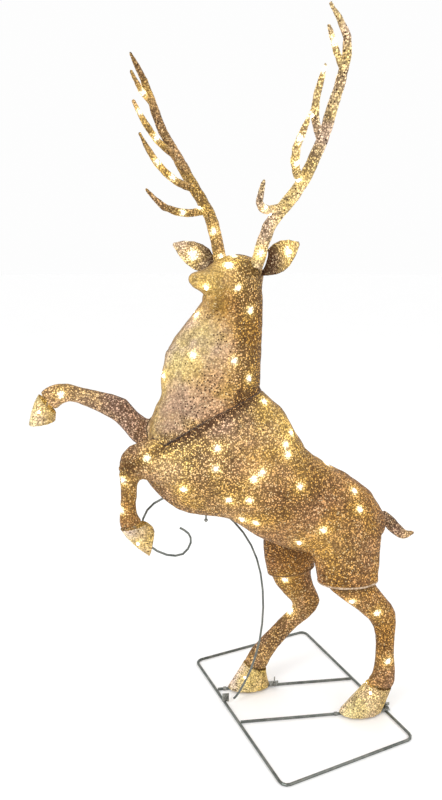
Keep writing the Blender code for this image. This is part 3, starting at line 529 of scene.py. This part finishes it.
def glitter_cloth(name, knot=205.0, glow_power=1.0):
    """Open knitted mesh with stuck-on glitter: pale knots, dark gaps and holes, lights behind it."""
    s = Shader(name)
    base = s.attribute("tone", "Color")
    gaps = s.attribute("gaps")
    holes = s.attribute("holes")
    shine = s.attribute("glow")
    knots = s.cells(knot)
    lot = s.lots(knot)
    wide = s.lots(knot * 0.42)
    # gaps between the knots, some of them wide open
    threshold = s.math("SUBTRACT", s.math("MULTIPLY", lot[2], 0.30), s.math("MULTIPLY", gaps, 0.34))
    edge = s.ease(s.math("SUBTRACT", knots, threshold), 0.41, 0.57)
    # each knot's own brightness, in clumps; it is more even where the mesh is close
    own = s.ease(lot[0], 0.0, 1.0, 0.38, 1.74)
    clump = s.ease(wide[0], 0.0, 1.0, 0.84, 1.16)
    uneven = s.math("MULTIPLY_ADD", gaps, 0.95, 0.30)
    bright = s.math("MULTIPLY_ADD", s.math("SUBTRACT", own, 1.0), uneven, 1.0)
    bright = s.math("MULTIPLY", s.math("MULTIPLY", bright, clump), s.math("MULTIPLY_ADD", gaps, 0.46, 1.07))
    # scattered bigger holes
    spots = s.cells(150.0)
    spot = s.math("MULTIPLY", s.ease(spots, 0.44, 0.28), s.math("LESS_THAN", s.lots(150.0)[2], holes))
    # broad unevenness of the coating: golden where it is thick, pinkish brown where it is rubbed
    cloud = s.ease(s.noise(15.0, 3.0), 0.30, 0.72, 0.88, 1.12)
    tan = s.ease(s.noise(9.0, 3.0), 0.36, 0.64)
    gold = s.mix(1.0, base, (1.06, 1.02, 0.62, 1.0), "MULTIPLY")
    rose = s.mix(1.0, base, (1.00, 0.95, 1.02, 1.0), "MULTIPLY")
    coat = s.mix(tan, gold, rose)
    bright = s.math("MULTIPLY", bright, cloud)
    level = s.node("ShaderNodeCombineColor", {"Red": bright, "Green": bright, "Blue": bright}).outputs[0]
    coat = s.mix(1.0, coat, level, "MULTIPLY")
    # painted glints: the brightest flakes go nearly white
    flake = s.math("MULTIPLY", s.ease(lot[1], 0.78, 0.92), s.ease(knots, 0.55, 0.30))
    coat = s.mix(s.math("MULTIPLY", flake, 0.45), coat, (0.95, 0.80, 0.50, 1.0))
    dark = s.mix(0.90, base, (0.050, 0.016, 0.005, 1.0))
    coat = s.mix(s.math("MULTIPLY", edge, s.ease(gaps, 0.0, 1.0, 0.40, 1.0)), coat, dark)
    coat = s.mix(s.math("MULTIPLY", spot, 0.94), coat, (0.030, 0.012, 0.008, 1.0))
    s.feed(coat, "Base Color")
    s.feed(s.ease(lot[1], 0.0, 1.0, 0.42, 0.75), "Roughness")
    s.main.inputs["Specular IOR Level"].default_value = 0.12
    through = s.math("MULTIPLY", shine, s.ease(knots, 0.62, 0.15, 0.25, 1.35))
    s.feed(s.mix(s.ease(shine, 0.5, 2.0), (1.0, 0.66, 0.16, 1.0), (1.0, 0.90, 0.62, 1.0)), "Emission Color")
    s.feed(s.math("MULTIPLY", through, glow_power), "Emission Strength")
    height = s.math("SUBTRACT", s.ease(knots, 0.62, 0.10), s.math("MULTIPLY", spot, 1.2))
    s.bump(height, 0.45, 0.0016)
    return s.material


def painted_rod_look():
    s = Shader("rod_paint")
    wear = s.ease(s.noise(70.0, 5.0), 0.42, 0.66)
    stripe = s.noise(9.0, 2.0)
    paint = s.mix(s.ease(stripe, 0.3, 0.7), (0.085, 0.096, 0.086, 1.0), (0.160, 0.172, 0.156, 1.0))
    s.feed(s.mix(s.math("MULTIPLY", wear, 0.6), paint, (0.27, 0.27, 0.24, 1.0)), "Base Color")
    s.feed(s.ease(wear, 0.0, 1.0, 0.30, 0.48), "Roughness")
    s.feed(0.75, "Metallic")
    s.bump(s.noise(420.0, 3.0), 0.12, 0.0006)
    return s.material


def zinc_look():
    s = Shader("zinc_plating")
    flakes = s.lots(240.0)[0]
    stain = s.ease(s.noise(55.0, 4.0), 0.45, 0.70)
    zinc = s.mix(flakes, (0.22, 0.22, 0.20, 1.0), (0.38, 0.38, 0.35, 1.0))
    s.feed(s.mix(s.math("MULTIPLY", stain, 0.5), zinc, (0.12, 0.11, 0.09, 1.0)), "Base Color")
    s.feed(s.ease(stain, 0.0, 1.0, 0.26, 0.55), "Roughness")
    s.feed(0.9, "Metallic")
    s.bump(s.noise(600.0, 2.0), 0.10, 0.0004)
    return s.material


def frame_look():
    s = Shader("frame_paint_white")
    patch = s.ease(s.noise(40.0, 3.0), 0.40, 0.65)
    s.feed(s.mix(patch, (0.62, 0.54, 0.38, 1.0), (0.47, 0.38, 0.24, 1.0)), "Base Color")
    s.feed(s.ease(patch, 0.0, 1.0, 0.42, 0.60), "Roughness")
    s.feed(0.3, "Metallic")
    s.bump(s.noise(300.0, 2.0), 0.15, 0.0005)
    return s.material


def cable_look():
    s = Shader("clear_cable")
    twist = s.ease(s.noise(180.0, 2.0), 0.35, 0.65)
    s.feed(s.mix(twist, (0.56, 0.50, 0.38, 1.0), (0.40, 0.33, 0.22, 1.0)), "Base Color")
    s.feed(s.ease(twist, 0.0, 1.0, 0.18, 0.34), "Roughness")
    s.main.inputs["Coat Weight"].default_value = 0.4
    return s.material


def bulb_look():
    s = Shader("warm_bulb")
    facet = s.ease(s.noise(400.0, 2.0), 0.30, 0.70)
    s.feed(s.mix(facet, (1.0, 0.95, 0.82, 1.0), (1.0, 0.86, 0.62, 1.0)), "Base Color")
    s.feed(s.ease(facet, 0.0, 1.0, 0.10, 0.22), "Roughness")
    s.feed((1.0, 0.90, 0.66, 1.0), "Emission Color")
    s.feed(s.ease(facet, 0.0, 1.0, 5.0, 8.0), "Emission Strength")
    return s.material


def hem_look(name, light, dark):
    s = Shader(name)
    stitch = s.cells(150.0)
    band = s.ease(stitch, 0.20, 0.60)
    s.feed(s.mix(band, rgba(light), rgba(dark)), "Base Color")
    s.feed(s.ease(stitch, 0.0, 0.6, 0.42, 0.70), "Roughness")
    s.bump(s.ease(stitch, 0.60, 0.10), 0.5, 0.0015)
    return s.material


CLOTH = glitter_cloth("glitter_mesh")
CLOTH_FINE = glitter_cloth("glitter_mesh_fine", knot=215.0, glow_power=1.1)
ROD_PAINT = painted_rod_look()
ZINC = zinc_look()
FRAME_PAINT = frame_look()
CABLE = cable_look()
BULB_GLASS = bulb_look()
HEM_DARK = hem_look("hem_dark", (0.20, 0.115, 0.055), (0.030, 0.014, 0.008))
HEM_PALE = hem_look("hem_pale", (0.72, 0.56, 0.40), (0.40, 0.27, 0.16))
# the same hem as the pale one, darkened as painted shade for the far thigh
HEM_FAR_SHADE = hem_look("hem_far_shade", (0.34, 0.19, 0.070), (0.16, 0.080, 0.026))


def wear(made, material):
    made.data.materials.clear()
    made.data.materials.append(material)


# Light places -------------------------------------------------------------------------------------------
def on_side(tree, x, z, side, middle=MIDDLE_Y, start=0.6):
    """Where a line along Y meets the cover, from the left (-1) or right (1) side."""
    hit = tree.ray_cast(Vector((x, middle + side * start, z)), Vector((0.0, -side, 0.0)))
    return (hit[0], hit[1]) if hit[0] is not None else None


LEGS = [n for n in NODES if n.startswith(("foreleg", "thigh", "shank")) and n.endswith("cover")]
HOOVES = [n for n in NODES if "hoof_" in n and n.startswith(("forehoof", "hindhoof"))]
torso_tree = surface_tree(["shoulder_cover", "rump_cover"])
head_tree = surface_tree(["neck_cover", "head_cover"])
leg_tree = surface_tree(LEGS + HOOVES)

body_lights = [on_side(torso_tree, x, z, side) for x, z in LIGHTS_BODY for side in (-1, 1)]
head_lights = [on_side(head_tree, x, z, side) for x, z in LIGHTS_HEAD for side in (-1, 1)]
for leg_x, leg_z, leg_y in LIGHTS_LEGS:
    for side in (-1, 1):
        body_lights.append(on_side(leg_tree, leg_x, leg_z, side, leg_y, 0.055))
body_lights = [spot for spot in body_lights if spot]
head_lights = [spot for spot in head_lights if spot]


def antler_lights(node):
    """Lights up the beam, on the side that looks out along -Y."""
    co = points_of(NODES[node])
    low, high = co[:, 2].min(), co[:, 2].max()
    tree = surface_tree([node])
    found = []
    for k, share in enumerate(LIGHTS_ANTLER):
        z = low + (high - low) * share
        band = co[np.abs(co[:, 2] - z) < 0.02]
        if len(band):
            mid = band[len(band) * (k % 3) // 3 if k % 2 else len(band) // 2]
            hit = tree.find_nearest(Vector(mid) + Vector((0.0, -0.05, 0.0)))
            if hit[0] is not None:
                found.append((hit[0], hit[1]))
    return found


# Skins --------------------------------------------------------------------------------------------------
hem_loops = {}


def padding(place, size):
    """Loose mesh that fills out a hollow between two covers."""
    work = bmesh.new()
    bmesh.ops.create_icosphere(work, subdivisions=3, radius=1.0)
    shape = Matrix.Translation(place) @ Matrix.Diagonal((*size, 1.0))
    bmesh.ops.transform(work, matrix=shape, verts=work.verts)
    return work


def blended_stag():
    """One surface over the whole stag, so that its covers run smoothly into each other."""
    solids = []
    for node in ["shoulder_cover", "rump_cover", "neck_cover", "head_cover"] + LEGS:
        reach = 0.0 if node == "head_cover" else 0.045 if node.startswith("foreleg") else 0.016
        solid, loops = outer_solid(node, SKIN_LIFT, reach, node.startswith("thigh"))
        hem_loops[node] = loops
        solids.append(solid)
    solids += [padding(place, size) for place, size in PADDING]
    skin = blended(joined("stag_skin", solids), SKIN_VOXEL, 2)
    set_points(skin, points_of(skin) + normals_of(skin) * CLOSING)
    skin = blended(skin, SKIN_VOXEL, 5)
    set_points(skin, points_of(skin) + normals_of(skin) * (SKIN_LIFT - CLOSING))
    lift_chin(skin)
    return skin


def lift_chin(skin):
    """The face is a wedge: its underside rises toward the lips."""
    co = points_of(skin)
    c, n = math.cos(HEAD_TURN), math.sin(HEAD_TURN)
    rel = co - np.array(HEAD_PLACE)
    ahead = rel[:, 0] * c + rel[:, 1] * n
    near = (np.abs(rel[:, 1] * c - rel[:, 0] * n) < 0.08) & (np.abs(rel[:, 2] + 0.04) < 0.08)
    reach = np.clip((ahead - CHIN_START) / (CHIN_END - CHIN_START), 0, 1)
    brow = HEAD_PLACE[2] - JAW_DROP - JAW_SLOPE * np.clip(ahead - 0.09, 0, 0.1)
    drop = np.where(near, np.clip(brow - co[:, 2], 0, 0.09), 0)
    co[:, 2] += drop * CHIN_RISE * reach
    lips = np.exp(-((ahead - CHIN_END) / 0.035) ** 2) * near
    co[:, 2] += BROW_RISE * lips * np.clip(1 - drop / 0.05, 0, 1)
    set_points(skin, co)


def in_neck(co):
    """True for points above the neck seam, over the body."""
    return (seam_height(co) > 0.0) & (co[:, 0] > NAPE.x - NECK_AHEAD) & on_neck_side(co)


def on_neck_side(co):
    """False on the lifted foreleg, which starts beside the neck and lies above the seam's plane."""
    gap = np.array([head_tree.find_nearest(Vector(p))[3] or 1.0 for p in co])
    legs = np.array([leg_tree.find_nearest(Vector(p))[3] or 1.0 for p in co])
    return gap <= legs + 0.004


def parted(skin, name, keep_neck):
    """A copy of the blended surface with only the neck's side of the seam, or only the body's."""
    part = new_object(name, skin.data.copy())
    co = points_of(part)
    neck = np.zeros(len(co), bool)
    high = co[:, 2] > 0.85
    neck[high] = in_neck(co[high])
    trimmed(part, ~neck if keep_neck else neck, 0.5)
    return part


def make_body_skin(stag):
    skin = parted(stag, "body_skin", False)
    feet = [tuple(np.array(corner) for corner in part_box(hoof)) for hoof in HOOVES]
    tree = surface_tree(HOOVES)

    def in_hoof(co):
        gone = np.zeros(len(co), bool)
        for low, high in feet:
            near = np.all((co > low + 0.002) & (co < high - 0.002), axis=1)
            for i in np.nonzero(near)[0]:
                hit = tree.find_nearest(Vector(co[i]))
                if hit[3] < 0.012 and (Vector(co[i]) - hit[0]).dot(hit[1]) < 0.0:
                    gone[i] = True
        return gone

    trimmed(skin, in_hoof(points_of(skin)))
    snap_to_seam(skin, -SEAM_HALF_GAP)
    sag_between_wires(skin, "torso_frame", SAG)
    for thigh, depth in SLEEVES.items():
        step_at_hem(skin, hem_loops[thigh + "_cover"], depth)
    return skin


def lower_loop(loops):
    """The lowest open end of a cover."""
    return min(loops, key=lambda loop: sum(p.z for p in loop) / len(loop))


def hem_plane(loops):
    """Middle, direction down the leg and reach of a thigh's lower end."""
    loop = lower_loop(loops)
    hub, down = loop_plane(loop)
    if down.z > 0:
        down = -down
    return hub, down, max((p - hub).length for p in loop)


def below_hem(co, loops):
    """How far each point is below a thigh's lower end, and whether it is on that leg."""
    hub, down, size = hem_plane(loops)
    rel = co - np.array(hub)
    below = rel @ np.array(down)
    return below, np.linalg.norm(rel - np.outer(below, np.array(down)), axis=1) < size * LEG_ROOM


def girdle(loops, tree, count=84):
    """A closed line on the skin round a thigh's lower end."""
    hub, down, size = hem_plane(loops)
    ahead = down.orthogonal().normalized()
    aside = down.cross(ahead)
    line = []
    for a in angles(count):
        out = ahead * math.cos(a) + aside * math.sin(a)
        start = hub - down * HEM_RISE + out * size * 1.45
        hit, normal, _, _ = tree.ray_cast(start, -out, size * 1.45)
        if hit is not None:
            line.append((hit + normal * 0.0014)[:])
    return evened(line, count, 4)


def step_at_hem(skin, loops, depth):
    """The thigh's sleeve stands off the leg at its hem, and the leg below it is drawn in."""
    co, no = points_of(skin), normals_of(skin)
    along, near = below_hem(co, loops)
    flare = np.where(along < 0, np.exp(-((along + HEM_RISE) / 0.016) ** 2), 0) * depth
    pinch = np.where(along >= 0, np.exp(-(along / 0.030) ** 2), 0) * depth * 0.9
    set_points(skin, co + no * np.where(near, flare - pinch, 0)[:, None])


def make_head_skin(stag):
    skin = parted(stag, "neck_and_head_skin", True)
    snap_to_seam(skin, SEAM_HALF_GAP)
    sag_between_wires(skin, "neck_frame", SAG)
    return skin


def crease_near_seam(skin, depth):
    """Fine folds that run along the neck seam."""
    co, no = points_of(skin), normals_of(skin)
    high = seam_height(co)
    near = np.exp(-(high / 0.020) ** 2)
    wave = np.sin(high / 0.0030 + grain(co, 14.0, 3) * 2.2)
    set_points(skin, co + no * (near * wave * depth)[:, None])


def seam_fold_shade(co):
    """Painted shade along the neck seam: long folds of the bunched mesh that run with it, dark and light by
    turns.
    """
    high = seam_height(co)
    along = np.stack([co[:, 0] * 0.35, co[:, 1] * 0.35, high * 6.0], 1)
    folds = 0.5 + 0.5 * np.sin(high / 0.0016 + grain(along, 22.0, 71) * 3.0)
    return np.exp(-((high + 0.002) / 0.0125) ** 2) * (0.42 + 0.58 * folds)


def crease_depth(co):
    """Near 1 along the creases where the mesh is pulled tight between wires."""
    flat = co[:, [0, 2]]
    depth = np.zeros(len(co))
    for line, width in CREASES:
        for start, end in zip(line, line[1:]):
            start, run = np.array(start), np.array(end) - np.array(start)
            share = np.clip((flat - start) @ run / (run @ run), 0, 1)
            gap = np.linalg.norm(flat - start - share[:, None] * run, axis=1)
            depth = np.maximum(depth, np.exp(-(gap / width) ** 2))
    return depth


def finish_skin(skin, tones, lights, seed, cloth, mirror=True):
    """Ripples, colours with painted shade in them, and light on a skin, and its cloth. Returns its points.
    """
    co, no = points_of(skin), normals_of(skin)
    crease = crease_depth(co)
    ripple = grain(co, 26.0, seed) * 0.0011 + grain(co, 60.0, seed + 1) * 0.0006 - crease * 0.0022
    set_points(skin, co + no * ripple[:, None])
    co = points_of(skin)
    # painted light and shade from the tones, and painted shade in the folds along the neck seam
    shade = tones_at(co, tones, mirror) * (1 - np.array(SEAM_FOLD_SHADE) * seam_fold_shade(co)[:, None])
    # painted shade in the creases
    shade *= 1 - CREASE_SHADE * crease[:, None]
    # painted shade round the outline
    shade *= rim_shade(skin, RIM_WIDTH["skin"])
    if skin == body_skin:
        under, near = below_hem(co, hem_loops["thigh_left_cover"])
        shade *= 1 - (HEM_FADE * near * np.exp(-((under - 0.010) / 0.010) ** 2))[:, None]
    # painted shade in the hollows
    for place, size, depth in SHADED:
        shade *= 1 - depth * np.exp(-(np.linalg.norm(co - np.array(place), axis=1) / size) ** 2)[:, None]
    colours(skin, "tone", shade)
    attribute(skin, "glow", glow_at(co, [spot for spot, _ in lights], HALOS_BODY))
    wear(skin, cloth)
    skin.data.shade_smooth()
    return co


stag_skin = blended_stag()
body_skin = make_body_skin(stag_skin)
crease_near_seam(body_skin, CREASE)
co = finish_skin(body_skin, TONES_BODY, body_lights, 1, CLOTH)
seam_dark = np.exp(-((seam_height(co) + 0.010) / 0.016) ** 2)
attribute(body_skin, "gaps", np.clip(0.64 + 0.22 * grain(co, 9.0, 5) + 0.3 * seam_dark, 0, 1))
attribute(body_skin, "holes", np.clip(0.03 + 0.10 * grain(co, 7.0, 6) + 0.35 * seam_dark, 0, 1))

head_skin = make_head_skin(stag_skin)
bpy.data.objects.remove(stag_skin, do_unlink=True)
crease_near_seam(head_skin, CREASE)
co = finish_skin(head_skin, TONES_HEAD, head_lights, 11, CLOTH, mirror=False)
seam_dark = np.exp(-((seam_height(co) - 0.012) / 0.018) ** 2)
# painted shade: the nape side of the neck, away from the light, gets more dark gaps
behind = np.clip((co[:, 0] + 0.02) / 0.03, 0, 1)
gaps = 0.22 + 0.54 * behind + 0.20 * grain(co, 9.0, 15) + 0.4 * seam_dark
attribute(head_skin, "gaps", np.clip(gaps, 0, 1))
stretched = sum(np.exp(-(np.linalg.norm(co[:, [0, 2]] - np.array(place), axis=1) / radius) ** 2) * share
                for place, radius, share in STRETCHED)
attribute(head_skin, "holes", np.clip(0.03 + stretched + 0.25 * seam_dark, 0, 0.85))

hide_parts("shoulder_cover", "rump_cover", *LEGS)
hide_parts("neck_cover", "head_cover")
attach(body_skin, "root")
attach(head_skin, "neck_and_head")


def toward_rim(skin):
    """Near 1 round the edge of a flat piece, where an ear's rim wire is and where an antler's beam takes
    painted shade, and 0 on its faces.
    """
    co, no = points_of(skin), normals_of(skin)
    rel = co - co.mean(0)
    flat = np.linalg.eigh(rel.T @ rel)[1][:, 0]
    return (1 - np.abs(no @ flat)) ** 2


def make_antler(side):
    node = "antler_" + side
    skin = blended(joined(node + "_skin", [solid_of(node)]), FINE_VOXEL, 3)
    co, no = points_of(skin), normals_of(skin)
    knobs = grain(co, 34.0, 21) * 0.0018 + grain(co, 90.0, 22) * 0.0008
    set_points(skin, co + no * (knobs + 0.0017)[:, None])
    lights = antler_lights(node)
    co = points_of(skin)
    # painted shade: the beam darkens toward its edges, where its wires run, and stays light in the middle
    colours(skin, "tone", np.outer(1 - 0.45 * toward_rim(skin), TONE_ANTLER[side]))
    attribute(skin, "glow", glow_at(co, [spot for spot, _ in lights], HALOS_ANTLER))
    attribute(skin, "gaps", np.clip(0.55 + 0.35 * grain(co, 16.0, 25), 0, 1))
    attribute(skin, "holes", np.clip(0.22 + 0.35 * grain(co, 12.0, 26), 0, 1))
    wear(skin, CLOTH_FINE)
    skin.data.shade_smooth()
    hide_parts(node)
    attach(skin, node)
    return skin, lights


def make_ear(side):
    node = "ear_" + side
    skin = blended(joined(node + "_skin", [solid_of(node)]), EAR_VOXEL, 4)
    co, no = points_of(skin), normals_of(skin)
    set_points(skin, co + no * (grain(co, 45.0, 31) * 0.0009)[:, None])
    co = points_of(skin)
    # painted light: the ear is bright toward its tip, round its light, and darker toward its root
    out = np.linalg.norm(co - np.array(HEAD_PLACE), axis=1)
    share = (out - out.min()) / (out.max() - out.min())
    shade = np.outer(0.14 + 1.3 * np.clip(share * 1.4, 0, 1) ** 1.5, TONE_EAR[side])
    colours(skin, "tone", shade * (1 - 0.60 * toward_rim(skin))[:, None])
    hit = surface_tree([node]).find_nearest(Vector(EAR_LIGHTS[side]) + Vector((0.0, -0.01, 0.0)))
    attribute(skin, "glow", glow_at(co, [hit[0]], HALOS_EAR))
    attribute(skin, "gaps", np.clip(0.95 - 0.55 * share + 0.2 * grain(co, 20.0, 33), 0, 1))
    attribute(skin, "holes", np.clip(0.55 - 0.45 * share, 0, 1))
    wear(skin, CLOTH_FINE)
    skin.data.shade_smooth()
    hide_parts(node)
    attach(skin, "neck_and_head")
    return skin, [(hit[0], hit[1])]


def make_hoof(node):
    solid, loops = outer_solid(node, SKIN_LIFT, 0.0)
    skin = blended(joined(node + "_skin", [solid]), FOOT_VOXEL, 2)
    opened(skin, loops[0])
    co, no = points_of(skin), normals_of(skin)
    set_points(skin, co + no * (0.0006 + grain(co, 30.0, 41) * 0.0006)[:, None])
    co = points_of(skin)
    toe, heel = co[:, 0].min(), co[:, 0].max()
    back = np.clip((co[:, 0] - toe) / (heel - toe) * 1.6 - 0.3, 0, 1)[:, None]
    tone = np.array(TONE_TOE) * (1 - back) + np.array(TONE_HOOF) * back
    # painted shade round the hoof's outline
    colours(skin, "tone", tone * rim_shade(skin, RIM_WIDTH["hoof"]))
    attribute(skin, "glow", glow_at(co, [spot for spot, _ in body_lights], HALOS_HOOF) + 0.06)
    attribute(skin, "gaps", np.clip(0.30 + 0.25 * grain(co, 14.0, 43), 0, 1))
    attribute(skin, "holes", np.clip(0.20 + 0.3 * grain(co, 12.0, 44), 0, 1))
    wear(skin, CLOTH_FINE)
    skin.data.shade_smooth()
    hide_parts(node)
    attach(skin, "root")
    return skin


def make_tail():
    skin = blended(joined("tail_skin", [solid_of("tail_cover")]), FOOT_VOXEL, 3)
    co, no = points_of(skin), normals_of(skin)
    set_points(skin, co + no * (0.0010 + grain(co, 40.0, 51) * 0.0018)[:, None])
    co = points_of(skin)
    colours(skin, "tone", np.tile(TONE_TAIL, (len(co), 1)))
    tip = Vector(co[co[:, 0].argmax()])
    attribute(skin, "glow", glow_at(co, [tip - Vector((0.02, 0, 0))], HALOS_TAIL))
    attribute(skin, "gaps", np.clip(0.72 + 0.25 * grain(co, 18.0, 53), 0, 1))
    attribute(skin, "holes", np.full(len(co), 0.4))
    wear(skin, CLOTH_FINE)
    skin.data.shade_smooth()
    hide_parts("tail_cover")
    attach(skin, "root")
    return skin


antlers = {side: make_antler(side) for side in ("left", "right")}
ears = {side: make_ear(side) for side in ("left", "right")}
hoof_skins = [make_hoof(node) for node in HOOVES]
tail_skin = make_tail()


# Lights -------------------------------------------------------------------------------------------------
def bulbs(name, spots, body, size=BULB):
    """Small rice lights that stand through the mesh."""
    work = bmesh.new()
    shoulder = [(0.55, 1.15), (0.92, 0.70), (1.0, 0.15), (0.95, -0.45), (0.60, -0.60), (0.60, -1.2)]
    for place, normal in spots:
        stand = Matrix.Translation(place) @ Vector(normal).to_track_quat("Z", "Y").to_matrix().to_4x4()
        tip = work.verts.new(stand @ Vector((0.0, 0.0, 1.35 * size)))
        rings = [[work.verts.new(stand @ (Vector((radius * math.cos(a), radius * math.sin(a), high)) * size))
                  for a in angles(AROUND)] for radius, high in shoulder]
        fan(work, tip, rings[0])
        for upper, lower in zip(rings, rings[1:]):
            bridge(work, upper, lower)
        work.faces.new(list(reversed(rings[-1])))
    bmesh.ops.recalc_face_normals(work, faces=work.faces)
    made = object_from(name, work)
    made.data.shade_smooth()
    wear(made, BULB_GLASS)
    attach(made, body)
    return made


bulbs("body_lights", body_lights, "root")
bulbs("neck_and_head_lights", head_lights + ears["left"][1] + ears["right"][1], "neck_and_head")
for side in ("left", "right"):
    bulbs("antler_%s_lights" % side, antlers[side][1], "antler_" + side, BULB * 0.9)


# Hems ---------------------------------------------------------------------------------------------------
def ordered_rim(made, keep):
    """Points along the open edge where keep(points) holds, in order."""
    work = bmesh.new()
    work.from_mesh(made.data)
    edges = [e for e in work.edges if len(e.link_faces) == 1]
    linked = {}
    for e in edges:
        a, b = e.verts
        linked.setdefault(a, []).append(b)
        linked.setdefault(b, []).append(a)
    best = []
    seen = set()
    for start in linked:
        if start in seen:
            continue
        line = [start]
        seen.add(start)
        while True:
            step = [v for v in linked[line[-1]] if v not in seen]
            if not step:
                break
            line.append(step[0])
            seen.add(step[0])
        points = np.array([v.co[:] for v in line])
        if keep(points).mean() > 0.7 and len(points) > len(best):
            best = points
    work.free()
    return best


def evened(points, count, rounds=12):
    """A closed line through the points, evenly spaced and smoothed."""
    points = np.asarray(points)
    for _ in range(rounds):
        points = (np.roll(points, 1, 0) + points * 2 + np.roll(points, -1, 0)) / 4
    loop = np.vstack([points, points[:1]])
    run = np.concatenate([[0], np.cumsum(np.linalg.norm(np.diff(loop, axis=0), axis=1))])
    at = np.linspace(0, run[-1], count, endpoint=False)
    return np.stack([np.interp(at, run, loop[:, k]) for k in range(3)], 1)


def rolled_hem(name, points, radius, material, body, seed):
    """A rolled hem along a closed line."""
    work = bmesh.new()
    wobble = grain(points, 40.0, seed)
    centre = Vector(points.mean(0))
    rings = []
    for i, (before, here, after) in enumerate(zip(np.roll(points, 1, 0), points, np.roll(points, -1, 0))):
        ahead = (Vector(after) - Vector(before)).normalized()
        out = Vector(here) - centre
        out = (out - ahead * out.dot(ahead)).normalized()
        side = ahead.cross(out)
        size = radius * (1 + 0.22 * wobble[i])
        rings.append([work.verts.new(Vector(here) + (out * math.cos(a) + side * math.sin(a)) * size)
                      for a in angles(AROUND)])
    for one, other in zip(rings, rings[1:] + rings[:1]):
        bridge(work, one, other)
    bmesh.ops.recalc_face_normals(work, faces=work.faces)
    made = object_from(name, work)
    made.data.shade_smooth()
    wear(made, material)
    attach(made, body)
    return made


hems_body, hems_head = [], []
rim = ordered_rim(body_skin, lambda co: np.abs(seam_height(co)) < 0.02)
if len(rim):
    hems_body.append(rolled_hem("shoulder_hem", evened(rim, 160), 0.0020, HEM_DARK, "root", 61))
rim = ordered_rim(head_skin, lambda co: np.abs(seam_height(co)) < 0.02)
if len(rim):
    hems_head.append(rolled_hem("neck_hem", evened(rim, 160), 0.0019, HEM_DARK, "neck_and_head", 64))
skin_shape = bmesh.new()
skin_shape.from_mesh(body_skin.data)
skin_tree = BVHTree.FromBMesh(skin_shape)
skin_shape.free()
for thigh, depth in SLEEVES.items():
    # the far thigh's hem takes the painted-shade copy of the pale hem
    cloth_edge = HEM_PALE if depth > 0.002 else HEM_FAR_SHADE
    line = girdle(hem_loops[thigh + "_cover"], skin_tree)
    hems_body.append(rolled_hem(thigh + "_hem", line, 0.0018 + depth * 0.34, cloth_edge, "root", 67))

# Materials on the metal and inner pieces ----------------------------------------------------------------
BY_SLOT = {"painted_rod": ROD_PAINT, "zinc_plate": ZINC, "frame_paint": FRAME_PAINT, "light_wire": CABLE,
           "glitter_mesh": CLOTH, "hoof_mesh": CLOTH_FINE}
for entry in frame["record"]["subparts"]:
    wear(NODES[entry["node"]], BY_SLOT[entry["material_slot"]])


# Floor, light and camera --------------------------------------------------------------------------------
def make_floor():
    """A pale round floor."""
    work = bmesh.new()
    hub = work.verts.new((0.0, 0.0, 0.0))
    rings = [[work.verts.new((radius * math.cos(a), radius * math.sin(a), 0.0)) for a in angles(96)]
             for radius in (3.0, 12.0, 40.0)]
    fan(work, hub, rings[0])
    for inner, outer in zip(rings, rings[1:]):
        bridge(work, inner, outer)
    floor = object_from("floor", work)
    floor.data.shade_smooth()
    s = Shader("floor_paper")
    s.feed(s.mix(s.ease(s.noise(1.2, 2.0), 0.3, 0.7), grey(0.985), grey(0.995)), "Base Color")
    s.feed(0.9, "Roughness")
    s.feed(grey(1.0), "Emission Color")
    s.main.inputs["Emission Strength"].default_value = 0.02
    wear(floor, s.material)


def soft_light(name, place, target, size, power):
    data = bpy.data.lights.new(name, "AREA")
    data.shape = "DISK"
    data.size = size
    data.energy = power
    lamp = new_object(name, data)
    lamp.location = place
    lamp.rotation_euler = (Vector(target) - Vector(place)).to_track_quat("-Z", "Y").to_euler()


make_floor()
soft_light("key", (-2.6, -2.6, 3.4), (0.0, 0.0, 1.0), 1.6, 60.0)
soft_light("fill", (2.6, -2.2, 2.4), (0.0, 0.0, 0.9), 2.2, 14.0)
soft_light("rim", (1.5, 2.6, 3.0), (0.0, 0.0, 1.1), 2.0, 10.0)
world = bpy.data.worlds.new("studio")
world.use_nodes = True
world.node_tree.nodes["Background"].inputs["Color"].default_value = grey(0.985)
world.node_tree.nodes["Background"].inputs["Strength"].default_value = 1.0
bpy.context.scene.world = world
bpy.context.scene.view_settings.view_transform = "Standard"

CAMERA_PLACE = (-0.263, -1.914, 1.479)
CAMERA_YAW = math.radians(-7.0)
CAMERA_PITCH = math.radians(-12.86)
LENS = 29.76                    # mm, on a sensor 36 mm high
lens = bpy.data.cameras.new("camera")
lens.sensor_fit = "VERTICAL"
lens.sensor_height = 36.0
lens.lens = LENS
lens.clip_start = 0.02
camera = new_object("camera", lens)
camera.location = CAMERA_PLACE
camera.rotation_euler = Vector((-math.sin(CAMERA_YAW) * math.cos(CAMERA_PITCH),
                                math.cos(CAMERA_YAW) * math.cos(CAMERA_PITCH),
                                math.sin(CAMERA_PITCH))).to_track_quat("-Z", "Y").to_euler()
bpy.context.scene.camera = camera
